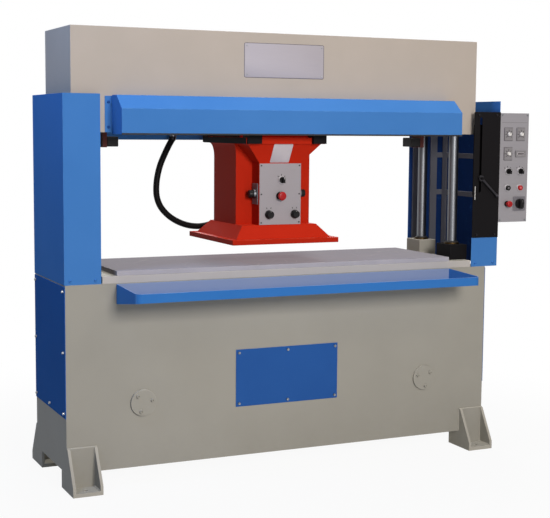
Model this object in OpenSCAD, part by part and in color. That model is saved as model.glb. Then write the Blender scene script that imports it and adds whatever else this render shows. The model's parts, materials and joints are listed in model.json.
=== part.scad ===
// Travelling head cutting press: a red head rolls along a lifting beam above a cutting board.
// Frame: origin on the floor between the four anchor holes, +X to the control box, +Z up.

/* [Base] */
// Width of the base, over the side covers
base_w = 2000; // [1900:10:2200]
// Depth of the base, front to back
base_d = 480; // [460:5:520]
// Height of the base's underside above the floor
base_lift = 74; // [60:1:100]
// Height of the base box
base_h = 768; // [740:1:800]
// Thickness of the base's welded plates
plate_t = 12; // [10:1:16]
// Thickness of the folded sheet covers
sheet_t = 3; // [2:0.5:4]
// Distance of the side covers' top edges below the deck
side_gap = 6; // [3:0.5:10]
// Height of the lower, uncovered part of the base's sides
side_sill_h = 226; // [180:1:260]

/* [Feet] */
// Width of each foot
foot_w = 125; // [110:1:150]
// How far each foot stands out from the base
foot_reach = 93; // [80:1:110]
// Height of the gussets' tops above the floor
foot_h = 178; // [150:1:220]
// Thickness of the foot's floor plate
foot_plate_t = 16; // [12:1:20]
// Height of the gussets' outer tips above the floor plate
foot_tip_h = 20; // [10:1:30]
// How far the feet reach in under the base
foot_tuck = 80; // [60:1:110]
// Radius of the anchor bolt holes
anchor_r = 9; // [7:0.5:11]
// Distance of the anchor holes out from the base's faces
anchor_out = 55; // [45:1:62]

/* [Bed] */
// Thickness of the bed plate
bed_t = 30; // [25:1:36]
// Room between the left guard and the bed plate
bed_gap_l = 4; // [3:1:10]
// Room between the right guard and the bed plate
bed_gap_r = 4; // [3:1:10]
// Length of the cutting board
board_l = 1582; // [1500:1:1600]
// Distance of the cutting board's edges in from the base's front and back
board_inset = 0; // [-10:1:20]
// Distance of the board and the front tray to the right of the middle
bench_shift = 9; // [0:1:12]
// Thickness of the cutting board
board_t = 20; // [15:1:30]

/* [Columns] */
// Diameter of the four columns
column_d = 45; // [38:1:50]
// Distance of the columns in from the base's ends
column_inset = 120; // [115:1:128]
// Distance of the columns in from the base's front and back
column_setback = 105; // [98:1:112]
// Height of the pedestals on the bed
pedestal_h = 70; // [55:1:85]
// Width of the pedestals along the press
pedestal_w = 90; // [84:1:100]
// Depth of the pedestals
pedestal_d = 120; // [100:1:130]
// Wall of the column bushes
bush_wall = 8; // [6:0.5:10]
// Height of the bushes' collars
bush_collar_h = 7; // [5:1:10]
// Width of the bushes' collars
bush_collar_w = 5; // [4:1:8]

/* [Beam] */
// How far the beam reaches past the columns
beam_overhang = 74; // [70:1:84]
// Distance of the beam's faces in from the base's front and back
beam_setback = 45; // [40:1:52]
// Height of the beam
beam_h = 421; // [390:1:450]
// Wall of the hollow beam
beam_wall = 20; // [14:1:25]
// How far the beam guards stand out
trough_d = 130; // [120:1:140]
// Height of the beam guards' upright faces
trough_face_h = 102; // [95:1:120]
// Height of the beam guards' sloped tops
trough_slope_h = 54; // [40:1:70]
// Depth of the beam guards' level tops
trough_top_d = 62; // [40:1:80]
// How far the beam guards hang below the beam
trough_drop = 7; // [4:1:10]
// Distance from the beam's left end to its guards
trough_end_l = 169; // [150:1:180]
// Distance from the beam's right end to its guards
trough_end_r = 155; // [130:1:180]
// Width of the ears that fasten the guards
trough_ear_w = 30; // [24:1:60]
// Length of the strip under the rear guard's left part
strip_l = 780; // [700:5:800]
// How far that strip hangs below the rear guard
strip_drop = 28; // [20:1:34]
// Depth of the rails
rail_d = 40; // [36:1:44]
// Thickness of the rails
rail_t = 20; // [15:1:25]
// Height of the rails' tops above the beam's underside
rail_top_h = 45; // [40:1:52]
// Distance of the end stops' faces from the beam's ends
stop_inset = 246; // [235:1:260]
// Length of the rubber buffers
buffer_l = 50; // [40:1:60]
// Width of the rubber buffers
buffer_w = 80; // [60:1:100]
// Height of the rubber buffers
buffer_h = 42; // [36:1:48]
// Thickness of the buffer brackets
stop_bracket_t = 19; // [12:1:25]

/* [Head] */
// Place of the head along the press
head_x = -30; // [-60:1:60]
// Daylight between board and platen
daylight = 88; // [84:1:110]
// Width of the platen
platen_w = 500; // [470:1:520]
// Depth of the platen
platen_d = 510; // [500:1:520]
// Thickness of the platen
platen_t = 22; // [16:1:30]
// Ledge of the platen round the skirt
platen_ledge = 27; // [20:1:35]
// Height of the skirt
skirt_h = 55; // [45:1:70]
// How far the skirt draws in
skirt_in = 47; // [40:1:56]
// Depth of the head's main body
head_d = 220; // [200:1:240]
// How much further the main body reaches at the back
head_back = 30; // [20:1:40]
// Height of the head's straight part
head_h = 268; // [250:1:290]
// Height of the flare under the top flange
flare_h = 80; // [70:1:95]
// How far the main body's sides flare out at the top
side_flare = 9; // [5:1:14]
// How far the main body's back flares out at the top
back_flare = 58; // [45:1:65]
// Width of the control housing
housing_w = 200; // [190:1:220]
// How far the control housing stands out from the main body
housing_reach = 73; // [66:1:76]
// How far the flare widens on each side of the housing
flare_side = 72; // [60:1:78]
// How far the top flange overhangs the flare at the front
flange_lip = 12; // [8:1:16]
// Thickness of the top flange
flange_t = 27; // [20:1:35]
// Height of the thrust pad on the flange
pad_h = 17.5; // [14:0.5:20]
// Depth of the thrust pad
pad_d = 300; // [260:1:340]
// Gap between thrust pad and beam
pad_gap = 0.5; // [0.4:0.1:1]

/* [Trolley] */
// Half the distance between the wheels
wheel_half_gap = 152; // [140:1:152]
// Radius of the wheels' treads
wheel_r = 35; // [30:1:38]
// Width of the wheels' treads
wheel_w = 30; // [26:1:32]
// Height of the wheels' rims
wheel_rim_h = 6; // [4:1:8]
// Thickness of the wheels' rims
wheel_rim_t = 5; // [4:0.5:6]
// Radius of the axles
axle_r = 12; // [9:1:15]
// Width of the hangers
hanger_w = 62; // [56:1:64]
// Thickness of the hangers
hanger_t = 20; // [14:1:24]
// Length of the hangers' feet on the flange
hanger_foot_l = 41; // [30:1:44]

/* [Guards] */
// Height of the column guards
guard_h = 761; // [720:1:790]
// Width of the left guard
guard_w_l = 153; // [148:1:156]
// Width of the right guard
guard_w_r = 142; // [136:1:150]
// How far the right guard stands out past the base
guard_out_r = 62; // [50:1:66]
// Width of the right guard's rear flange
guard_rear_r = 197; // [180:1:205]
// Height of the right guard's lower front plate
guard_front_h = 134; // [110:1:150]
// Width of the folded lip behind the setting panel
guard_lip_w = 20; // [14:1:26]
// Width of the stiffening straps
strap_w = 24; // [18:1:30]
// Width of the two uprights by the right guard's rear corner
upright_w = 36; // [30:1:40]
// Thickness of the stiffening straps
strap_t = 8; // [6:1:10]
// Distance of the straps' ends from the guard's front and ends
strap_end = 60; // [40:1:80]

/* [Tray and covers] */
// Length of the front tray
tray_l = 1586; // [1500:1:1620]
// Reach of the front tray
tray_d = 255; // [220:5:270]
// Height of the tray at the base
tray_back_h = 82; // [70:1:90]
// Height of the tray's front lip
tray_lip_h = 37; // [30:1:50]
// Rise of the tray's floor to the front
tray_rise = 34; // [20:1:38]
// Radius of the tray's front corners
tray_corner_r = 25; // [15:1:40]
// Place of the front access cover along the press
access_x = -14.5; // [-30:0.5:30]
// Width of the front access cover
access_w = 486; // [440:1:520]
// Height of the front access cover
access_h = 247; // [220:1:270]
// Height of the access cover's lower edge
access_z = 287; // [270:1:300]
// Lap of the access cover round its opening
access_lap = 20; // [12:1:26]

/* [Lift linkage] */
// Stroke of the beam
stroke = 75; // [60:1:80]
// Height of the crank pivots above the floor
pivot_z = 343; // [330:1:360]
// Distance of the crank pivots in from the columns
pivot_inset = 207; // [195:1:215]
// Radius of the crank pivots' round flanges
pivot_flange_r = 55; // [48:1:60]
// Thickness of the crank pivots' flanges
pivot_flange_t = 12; // [8:1:16]
// Radius of the crank pins
pivot_r = 20; // [16:1:22]
// Length of the cranks' lift arms
lift_arm = 175; // [165:1:180]
// Length of the cranks' tie arms
tie_arm = 60; // [56:1:70]
// Thickness of the cranks
crank_t = 18; // [14:1:20]
// Width of the cranks' lift arms
lift_arm_w = 28; // [24:1:34]
// Width of the cranks' tie arms
tie_arm_w = 26; // [22:1:30]
// Wall of the cranks' hubs
hub_wall = 14; // [10:1:18]
// Radius of the rollers on the lift arms
roller_r = 12; // [10:1:14]
// Radius of the pins at the tie rod
tie_pin_r = 8; // [6:1:10]
// Thickness of the tie rod
tie_t = 14; // [10:1:16]
// Height of the lift yokes
yoke_h = 71; // [64:1:80]
// Room between the base's plates and the lift yokes' ends
yoke_room = 33; // [31:1:36]
// Width of the lift yokes
yoke_w = 125; // [118:1:132]
// Radius of the yokes' tie bolts on the columns
tail_r = 16; // [12:1:18]
// Radius of the cylinder barrels
barrel_r = 60; // [55:1:70]
// Wall of the cylinder barrels
barrel_wall = 14; // [10:1:18]
// Radius of the piston rods
rod_r = 25; // [20:1:30]
// Height of the pistons
piston_h = 25; // [20:1:30]

/* [Power unit] */
// Length of the oil tank
tank_l = 500; // [400:10:600]
// Depth of the oil tank
tank_d = 310; // [250:5:320]
// Height of the oil tank
tank_h = 314; // [250:1:360]
// Radius of the pump motor
motor_r = 95; // [80:1:110]
// Height of the pump motor
motor_h = 250; // [200:1:300]
// Length of the valve block
valve_l = 140; // [110:1:170]

/* [Setting panel] */
// Height of the setting panel
setting_h = 577; // [540:1:600]
// Thickness of the setting panel
setting_t = 4; // [3:0.5:6]
// Distance of the setting slot from the panel's left edge
slot_x = 36; // [32:1:50]
// Length of the setting slot
slot_l = 343; // [300:1:360]
// Width of the setting slot
slot_w = 14; // [13:0.5:16]
// Distance of the slot's top end from the panel's top
slot_drop = 25; // [20:1:40]
// Height of the clamp above the slot's lower end
clamp_rise = 65; // [50:1:200]
// Radius of the clamp bolt
clamp_r = 6; // [4:0.5:6]
// Length of the clamp lever
lever_l = 130; // [110:1:132]
// Slope of the clamp lever below level, in degrees
lever_slope = 43; // [40:1:60]

/* [Control box] */
// Width of the control box
box_w = 158; // [150:1:180]
// Height of the control box
box_h = 504; // [490:1:530]
// Depth of the control box
box_d = 160; // [120:5:200]
// Height of the control box above the base
box_z = 203; // [180:1:220]
// Thickness of the control plates
panel_t = 3; // [2:0.5:4]
// Half the distance between the two columns of controls
control_half_gap = 34; // [32:1:36]
// Distance of the first row of controls from the plate's top
control_top = 97; // [85:1:100]
// Radius of the timer knobs
timer_r = 12; // [9:1:15]
// Radius of the selectors
selector_r = 13; // [10:1:16]
// How far the selectors on box and head stand out
selector_l = 32; // [26:1:36]
// Radius of the small push buttons
button_r = 12; // [9:1:15]
// Radius of the emergency stop
emergency_r = 15; // [13:1:19]
// Radius of the main switch's handle
main_switch_r = 23; // [18:1:24]
// Width of the main switch's square plate
main_plate_w = 65; // [56:1:66]

/* [Head controls] */
// Height of the head's control plate
head_panel_h = 263; // [240:1:266]
// Margin of the head's control plate at the housing's sides
head_panel_margin = 2; // [1:0.5:5]
// Radius of the head's round knobs
knob_r = 19; // [15:1:24]
// Half the distance between the head's round knobs
knob_half_gap = 61; // [50:1:66]
// Distance of the knobs to the right of the head's middle
knob_shift = 7; // [2:1:10]
// Height of the head's round knobs above its skirt
knob_rise = 45; // [36:1:60]
// Height of the head's selector above its skirt
selector_rise = 193; // [180:1:205]
// Distance of the head's selector to the right of the head's middle
selector_shift = 5; // [0:1:8]
// Height of the head's stop button above its skirt
stop_rise = 125; // [115:1:140]
// Distance of the head's stop button from the head's middle
stop_shift = -3; // [-6:1:6]
// Radius of the head's stop button
head_stop_r = 19; // [15:1:22]
// Height of the two-hand buttons above the skirt
side_button_rise = 133; // [110:1:150]
// Radius of the two-hand buttons on the housing's sides
side_button_r = 17; // [13:1:20]
// How far the two-hand buttons stand out
side_button_l = 30; // [24:1:34]
// Width of the small plates under the two-hand buttons
side_plate_w = 56; // [48:1:58]
// Height of the small plates under the two-hand buttons
side_plate_h = 90; // [70:1:100]
// Distance of the two-hand buttons from the housing's front
side_button_in = 36; // [30:1:44]

/* [Hose] */
// Diameter of the hose
hose_d = 28; // [22:1:30]

/* [Fits] */
// Radial clearance of turning and sliding shafts
run_gap = 0.05; // [0.02:0.01:0.08]
// Clearance between moving pieces that pass each other
move_gap = 0.4; // [0.35:0.05:0.8]
// Radial clearance of bolts, tails and stems in their holes
hole_gap = 0.3; // [0.25:0.05:0.6]
// Clearance between the wheels' treads and the rails
tread_gap = 0.3; // [0.2:0.05:0.5]
// Clearance of the rollers in the yokes' slots
roller_gap = 0.6; // [0.5:0.1:1]
// Clearance of the tie rod's open pivots
tie_gap = 1.6; // [1.4:0.1:2]
// Gap of the welded seams between sheets
seam = 0.1; // [0.05:0.05:0.2]

/* [Hidden] */
$fn = 64;

beige = "#bdb4a8";
blue = "#3f78bd";
red = "#c42e1c";
panel_grey = "#b0a8ae";
black = "#222022";
steel = "#a9abad";
chrome = "#d6d8da";
brass = "#b08d4a";

// Heights, from the floor up
deck_z = base_lift + base_h;
bed_z = deck_z + bed_t;
board_z = bed_z + board_t;
platen_z = board_z + daylight;
skirt_z = platen_z + platen_t;
body_z = skirt_z + skirt_h;
flare_z = body_z + head_h;
flange_z = flare_z + flare_h;
flange_top = flange_z + flange_t;
beam_z = flange_top + pad_h + pad_gap;
guard_top = deck_z + guard_h;
floor_z = base_lift + plate_t;

// Places along and across the press
base_x = base_w / 2;
frame_x = base_x - sheet_t;
front_y = -base_d / 2;
column_x = base_x - column_inset;
column_y = base_d / 2 - column_setback;
column_r = column_d / 2;
bush_r = column_r + bush_wall;
beam_x = column_x + beam_overhang;
beam_y = base_d / 2 - beam_setback;
stop_x = beam_x - stop_inset;
foot_x = frame_x - foot_w / 2;
anchor_y = base_d / 2 + anchor_out;

// Head outline
skirt_w = platen_w - 2 * platen_ledge;
skirt_d = platen_d - 2 * platen_ledge;
body_w = skirt_w - 2 * skirt_in;
flange_w = body_w + 2 * side_flare;
housing_y = head_d / 2 + housing_reach;
panel_y = -housing_y - panel_t;

// Trolley
rail_y = beam_y;
rail_z = beam_z + rail_top_h;
axle_z = rail_z + wheel_r;
wheel_y = beam_y + rail_d - wheel_w;
rim_y = beam_y + rail_d + 1;
hanger_y = rim_y + wheel_rim_t;
flange_d = 2 * hanger_y;

// Beam guards
trough_x0 = -beam_x + trough_end_l;
trough_x1 = beam_x - trough_end_r;
trough_z = beam_z - trough_drop;

// Guards and control box
guard_x_l = -base_x + guard_w_l;
guard_x_r = base_x + guard_out_r - guard_w_r;
guard_out_x = base_x + guard_out_r;
setting_z = deck_z + guard_front_h;
slot_px = guard_x_r + slot_x;
slot_top = setting_z + setting_h - slot_drop;
clamp_z = slot_top - slot_l + clamp_rise;
setting_y = front_y - setting_t;
box_x = guard_out_x + box_w / 2;
box_z0 = deck_z + box_z;
box_z1 = box_z0 + box_h;
plate_y = front_y - panel_t;
control_drops = [0, 90, 171, 248, 322];
row_z = [for (drop = control_drops) box_z1 - control_top - drop];
control_xl = box_x - control_half_gap;
control_xr = box_x + control_half_gap;

// Stems of the knobs and buttons
stem_r = 4;
stem_l = 12;

// Controls on the head: [x from the head's middle, z], selector first, then button and two knobs
head_controls = [
    [selector_shift, body_z + selector_rise], [stop_shift, body_z + stop_rise],
    [knob_shift - knob_half_gap, body_z + knob_rise], [knob_shift + knob_half_gap, body_z + knob_rise]
];
side_button_y = -housing_y + side_button_in;
side_button_z = body_z + side_button_rise;

// Lift linkage
pivot_x = column_x - pivot_inset;
lift_swing = asin(stroke / 2 / lift_arm);
slot_z = pivot_z + stroke / 2;
yoke_z = slot_z - yoke_h / 2;
yoke_d = base_d - 2 * plate_t - 2 * yoke_room;
crank_y = front_y + plate_t + 6;
tie_y = crank_y + crank_t + 3;
tie_rise = tie_arm * (1 + cos(lift_swing)) / 2;
roller_x = lift_arm * cos(lift_swing);
barrel_h = yoke_z - stroke - 15 - floor_z;
piston_z = floor_z + barrel_h - barrel_wall - piston_h - 6;

// Hose: down from the rear beam guard and in behind the head. Each row is the distance from the
// head's middle, the share of the way in from guard to head, and the share of the height
hose_y0 = beam_y + trough_d - 32;
hose_y1 = housing_y + 95;
hose_z0 = beam_z - 18;
hose_z1 = body_z + 18;
hose_route = [
    [-315, 0, 1], [-320, 0, 0.9552], [-334, 0, 0.888], [-353, 0, 0.7843], [-374, 0, 0.6527],
    [-388, 0, 0.5182], [-395, 0, 0.3782], [-393, 0, 0.2381], [-376, 0, 0.112], [-342, 0, 0.0028],
    [-297, 0, -0.0812], [-247, 0, -0.1345], [-197, 0.067, -0.1541], [-150, 0.267, -0.1401],
    [-107, 0.533, -0.1008], [-67, 0.8, -0.0532], [-28, 0.933, -0.0168], [-7, 1, -0.0028], [10, 1, 0]
];
hose_points = [
    for (p = hose_route)
        [head_x + p[0], hose_y0 + p[1] * (hose_y1 - hose_y0), hose_z1 + p[2] * (hose_z0 - hose_z1)]
];
hose_start = hose_points[0];
hose_end = hose_points[len(hose_points) - 1];
hose_spigot_h = 25;
hose_spigot_r = hose_d / 2 + 3;
hose_sides = 10;

// Shared shapes

// A box between two corners
module span(a, b) {
    translate(a) cube(b - a);
}

// A round bar along Y
module bar_y(x, z, y0, y1, r) {
    translate([x, y1, z]) rotate([90, 0, 0]) cylinder(h = y1 - y0, r = r);
}

// A round bar along X
module bar_x(y, z, x0, x1, r) {
    translate([x0, y, z]) rotate([0, 90, 0]) cylinder(h = x1 - x0, r = r);
}

// An outline of [y, z] points, drawn out along X
module along_x(points, x0, x1) {
    translate([x0, 0, 0]) rotate([90, 0, 90]) linear_extrude(x1 - x0) polygon(points);
}

// An outline of [x, z] points, drawn out along Y
module along_y(points, y0, y1) {
    translate([0, y1, 0]) rotate([90, 0, 0]) linear_extrude(y1 - y0) polygon(points);
}

// Copies at the left and right ends
module both_ends() {
    children();
    mirror([1, 0, 0]) children();
}

// Copies at the front and the back
module both_faces() {
    children();
    mirror([0, 1, 0]) children();
}

// Four copies, one in each corner
module four_corners() {
    both_ends() both_faces() children();
}

// Base

// One welded foot: floor plate, two sloped gussets and a web between them under the base
module foot() {
    y_in = base_d / 2 - foot_tuck;
    y_out = base_d / 2 + foot_reach;
    difference() {
        span([frame_x - foot_w, y_in, 0], [frame_x, y_out, foot_plate_t]);
        translate([foot_x, anchor_y, -1]) cylinder(h = foot_plate_t + 2, r = anchor_r);
    }
    gusset = [
        [y_in, foot_plate_t], [y_out, foot_plate_t], [y_out, foot_plate_t + foot_tip_h],
        [base_d / 2 + plate_t, foot_h], [base_d / 2, foot_h], [base_d / 2, base_lift],
        [y_in, base_lift]
    ];
    for (x = [frame_x - foot_w, frame_x - plate_t]) along_x(gusset, x, x + plate_t);
    span([frame_x - foot_w + 1, base_d / 2 - plate_t, foot_plate_t - 1],
         [frame_x - 1, base_d / 2, base_lift]);
}

// The opening behind the access cover
module access_opening() {
    half_w = access_w / 2 - access_lap;
    span([access_x - half_w, front_y - 1, access_z + access_lap],
         [access_x + half_w, front_y + plate_t + 1, access_z + access_h - access_lap]);
}

module base_frame() {
    inner_y = base_d / 2 - plate_t;
    color(beige) difference() {
        span([-frame_x, -base_d / 2, base_lift], [frame_x, base_d / 2, deck_z]);
        span([-frame_x + plate_t, -inner_y, floor_z], [frame_x - plate_t, inner_y, deck_z - plate_t]);
        both_ends() span([frame_x - plate_t - 1, -inner_y, base_lift + side_sill_h],
                         [frame_x + 1, inner_y, deck_z - plate_t]);
        four_corners() translate([column_x, column_y, deck_z - plate_t - 1])
            cylinder(h = plate_t + 2, r = bush_r + hole_gap);
        both_ends() bar_y(pivot_x, pivot_z, front_y - 1, front_y + plate_t + 1, pivot_r + hole_gap);
        access_opening();
    }
}

module feet() {
    color(beige) four_corners() foot();
}

module bed_plate() {
    color(beige) difference() {
        union() {
            span([guard_x_l + bed_gap_l, -base_d / 2, deck_z],
                 [guard_x_r - bed_gap_r, base_d / 2 - sheet_t, bed_z]);
            four_corners() span([column_x - pedestal_w / 2, column_y - pedestal_d / 2, bed_z - bed_t],
                                [column_x + pedestal_w / 2, column_y + pedestal_d / 2, bed_z + pedestal_h]);
        }
        four_corners() translate([column_x, column_y, deck_z - 1])
            cylinder(h = bed_t + pedestal_h + 2, r = bush_r + hole_gap);
    }
}

module cutting_board() {
    edge_y = base_d / 2 - board_inset;
    color("#89868b") translate([bench_shift, 0, 0])
        span([-board_l / 2, -edge_y, bed_z], [board_l / 2, edge_y, board_z]);
}

// The tray's outer form, or with a wall the room inside it, which is open at the top
module tray_form(wall) {
    back_z = deck_z - 3 - tray_back_h;
    lip_z = back_z + tray_rise;
    y_back = -base_d / 2 - wall;
    y_front = -base_d / 2 - tray_d + wall;
    top = wall > 0 ? 10 : 0;
    corner = tray_corner_r - wall;
    half_l = tray_l / 2 - wall;
    intersection() {
        along_x([[y_back, back_z + wall], [y_front, lip_z + wall], [y_front, lip_z + tray_lip_h + top],
                 [y_back, back_z + tray_back_h + top]], -half_l, half_l);
        translate([0, 0, back_z - 1]) linear_extrude(tray_back_h + tray_rise + 60) union() {
            translate([-half_l, y_front + corner]) square([2 * half_l, y_back - y_front - corner]);
            translate([-half_l + corner, y_front]) square([2 * (half_l - corner), corner + 1]);
            for (s = [-1, 1]) translate([s * (half_l - corner), y_front + corner]) circle(corner);
        }
    }
}

module front_tray() {
    color(blue) translate([bench_shift, 0, 0]) difference() {
        tray_form(0);
        tray_form(sheet_t);
    }
}

module access_cover() {
    color(blue) span([access_x - access_w / 2, front_y - sheet_t, access_z],
                     [access_x + access_w / 2, front_y, access_z + access_h]);
}

module side_covers() {
    color(blue) both_ends() span([frame_x, -base_d / 2, base_lift + side_sill_h],
                                 [base_x, base_d / 2, deck_z - side_gap]);
}

// Bushes that guide the columns, each with a collar on its pedestal
module column_bushes() {
    top_z = bed_z + pedestal_h;
    color(brass) four_corners() translate([column_x, column_y, deck_z - plate_t]) difference() {
        union() {
            cylinder(h = top_z - deck_z + plate_t + bush_collar_h, r = bush_r);
            translate([0, 0, top_z - deck_z + plate_t])
                cylinder(h = bush_collar_h, r = bush_r + bush_collar_w);
        }
        translate([0, 0, -1])
            cylinder(h = top_z - deck_z + plate_t + bush_collar_h + 2, r = column_r + run_gap);
    }
}

// Column guards

module left_guard() {
    color(blue) difference() {
        span([-base_x, -base_d / 2, deck_z], [guard_x_l, base_d / 2, guard_top]);
        span([-base_x + sheet_t, -base_d / 2 + sheet_t, deck_z - 1],
             [guard_x_l + 1, base_d / 2 - sheet_t, guard_top + 1]);
    }
}

module right_guard() {
    y0 = front_y;
    y1 = -front_y;
    color(blue) union() {
        span([guard_out_x - sheet_t, y0, deck_z], [guard_out_x, y1, guard_top]);
        span([guard_x_r, y0, deck_z], [guard_out_x, y0 + sheet_t, setting_z]);
        span([guard_out_x - guard_lip_w, y0, setting_z - 1],
             [guard_out_x, y0 + sheet_t, setting_z + setting_h]);
        span([guard_out_x - guard_rear_r, y1 - sheet_t, deck_z], [guard_out_x, y1, guard_top]);
    }
}

// Straps that stiffen the right guard's outer and rear sheets: rungs round the corner, and uprights
module guard_straps() {
    x0 = guard_out_x - guard_rear_r;
    x1 = guard_out_x - sheet_t;
    y1 = base_d / 2 - sheet_t;
    z0 = deck_z + strap_end;
    z1 = guard_top - strap_end;
    levels = [0.422, 0.662] * guard_h;
    places = [0.1, 0.61] * guard_rear_r;
    color("#6f7076") {
        for (z = levels) {
            span([x1 - strap_t, -y1 + strap_end, deck_z + z - strap_w / 2],
                 [x1, y1, deck_z + z + strap_w / 2]);
            span([x0 + places[1], y1 - strap_t, deck_z + z - strap_w / 2],
                 [x1, y1, deck_z + z + strap_w / 2]);
        }
        span([x0 + places[0], y1 - strap_t, z0], [x0 + places[0] + strap_w, y1, z1]);
        span([x0 + places[1], y1 - strap_t, z0], [x0 + places[1] + upright_w, y1, z1]);
        span([x1 - strap_t, y1 - strap_t - upright_w, z0], [x1, y1 - strap_t, z1]);
    }
}

module setting_panel() {
    color(black) difference() {
        span([guard_x_r, setting_y, setting_z], [guard_out_x, front_y, setting_z + setting_h]);
        for (z = [slot_top - slot_w / 2, slot_top - slot_l + slot_w / 2])
            bar_y(slot_px, z, setting_y - 1, front_y + 1, slot_w / 2);
        span([slot_px - slot_w / 2, setting_y - 1, slot_top - slot_l + slot_w / 2],
             [slot_px + slot_w / 2, front_y + 1, slot_top - slot_w / 2]);
    }
}

// The clamp bolt with its washer in front and its square nut behind the panel
module setting_clamp() {
    nut = 2 * slot_w;
    color(black) union() {
        bar_y(slot_px, clamp_z, setting_y - 30, front_y + 10, clamp_r);
        bar_y(slot_px, clamp_z, setting_y - move_gap - 4, setting_y - move_gap, slot_w);
        span([slot_px - nut / 2, front_y + move_gap, clamp_z - nut / 2],
             [slot_px + nut / 2, front_y + 10, clamp_z + nut / 2]);
    }
}

// The lever that turns on the clamp bolt
module clamp_lever() {
    y1 = setting_y - move_gap - 4 - move_gap;
    y0 = y1 - 12;
    color(steel) difference() {
        union() {
            bar_y(slot_px, clamp_z, y0, y1, 14);
            translate([slot_px, 0, clamp_z]) rotate([0, lever_slope, 0]) {
                translate([0, (y0 + y1) / 2, 0]) rotate([0, 90, 0]) cylinder(h = lever_l - 10, r = 5);
                translate([lever_l - 10, (y0 + y1) / 2, 0]) sphere(8);
            }
        }
        bar_y(slot_px, clamp_z, y0 - 1, y1 + 1, clamp_r + run_gap);
    }
}

// Control box and its plate

module control_box() {
    wall = 2;
    color("#8f8d90") difference() {
        span([guard_out_x, front_y, box_z0], [guard_out_x + box_w, front_y + box_d, box_z1]);
        span([guard_out_x + wall, front_y - 1, box_z0 + wall],
             [guard_out_x + box_w - wall, front_y + box_d - wall, box_z1 - wall]);
    }
}

// Hole for a stem that turns in a plate whose front is at y
module turn_hole(x, z, y) {
    bar_y(x, z, y - 1, y + panel_t + 1, stem_r + run_gap);
}

// Hole for a stem that slides in a plate whose front is at y
module slide_hole(x, z, y) {
    bar_y(x, z, y - 1, y + panel_t + 1, stem_r + hole_gap);
}

module control_plate() {
    half = main_plate_w / 2;
    color(panel_grey) difference() {
        union() {
            span([guard_out_x, plate_y, box_z0], [guard_out_x + box_w, front_y, box_z1]);
            span([control_xr - half, plate_y - panel_t, row_z[4] - half],
                 [control_xr + half, plate_y, row_z[4] + half]);
        }
        for (x = [control_xl, control_xr]) {
            turn_hole(x, row_z[0], plate_y);
            turn_hole(x, row_z[2], plate_y);
            slide_hole(x, row_z[3], plate_y);
        }
        turn_hole(control_xl, row_z[1], plate_y);
        slide_hole(control_xl, row_z[4], plate_y);
        turn_hole(control_xr, row_z[4], plate_y);
        turn_hole(control_xr, row_z[4], plate_y - panel_t);
    }
}

// A small counter with a sloped window frame
module counter() {
    w = 56;
    h = 30;
    color(black) difference() {
        span([control_xr - w / 2, plate_y - 8, row_z[1] - h / 2],
             [control_xr + w / 2, plate_y, row_z[1] + h / 2]);
        span([control_xr - w / 2 + 6, plate_y - 9, row_z[1] - h / 2 + 7],
             [control_xr + w / 2 - 6, plate_y - 5, row_z[1] + h / 2 - 7]);
    }
}

// A round knob on a turning stem, in front of a plate at y
module round_knob(x, z, y, r, h) {
    back = y - move_gap;
    difference() {
        union() {
            bar_y(x, z, back - h * 0.4, back, r);
            bar_y(x, z, back - h, back, r * 0.84);
            bar_y(x, z, back - 1, y + stem_l, stem_r);
        }
        span([x - 1, back - h - 1, z + r * 0.25], [x + 1, back - h + 1, z + r]);
    }
}

// A selector with a raised grip across its round base
module grip_knob(x, z, y, r, h) {
    back = y - move_gap;
    bar_y(x, z, back - h * 0.45, back, r);
    span([x - r * 0.28, back - h, z - r * 0.9], [x + r * 0.28, back - h * 0.4, z + r * 0.9]);
    bar_y(x, z, back - 1, y + stem_l, stem_r);
}

// A push button on a sliding stem, standing proud of a plate at y by h
module push_button(x, z, y, r, h, travel) {
    back = y - travel - move_gap;
    bar_y(x, z, y - h, back, r);
    bar_y(x, z, back - 1, y + stem_l, stem_r);
}

// A mushroom button with a domed head on a narrower neck
module mushroom_button(x, z, y, r, h, travel) {
    back = y - travel - move_gap;
    bar_y(x, z, y - h + 6, back, r * 0.62);
    bar_y(x, z, back - 1, y + stem_l, stem_r);
    intersection() {
        translate([x, y - h + 1.3 * r, z]) sphere(1.3 * r);
        bar_y(x, z, y - h - 1, y - h + 12, r);
    }
}

module timer_knob_1() {
    color("#dedcd8") round_knob(control_xl, row_z[0], plate_y, timer_r, 16);
}

module timer_knob_2() {
    color("#dedcd8") round_knob(control_xr, row_z[0], plate_y, timer_r, 16);
}

module timer_knob_3() {
    color("#dedcd8") round_knob(control_xl, row_z[1], plate_y, timer_r, 16);
}

module selector_left() {
    color(black) grip_knob(control_xl, row_z[2], plate_y, selector_r, selector_l);
}

module selector_right() {
    color(black) grip_knob(control_xr, row_z[2], plate_y, selector_r, selector_l);
}

module start_button() {
    color(black) push_button(control_xl, row_z[3], plate_y, button_r, 15, 4);
}

module stop_button() {
    color(red) push_button(control_xr, row_z[3], plate_y, button_r, 15, 4);
}

module emergency_stop() {
    color(red) mushroom_button(control_xl, row_z[4], plate_y, emergency_r, 32, 5);
}

module main_switch() {
    color(black) grip_knob(control_xr, row_z[4], plate_y - panel_t, main_switch_r, 26);
}

// Power unit inside the base

module oil_tank() {
    x0 = -tank_l / 2;
    wall = 5;
    color("#7d8187") difference() {
        span([x0, -tank_d / 2 + 30, floor_z], [x0 + tank_l, tank_d / 2 + 30, floor_z + tank_h]);
        span([x0 + wall, -tank_d / 2 + 30 + wall, floor_z + wall],
             [x0 + tank_l - wall, tank_d / 2 + 30 - wall, floor_z + tank_h - wall]);
    }
}

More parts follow.
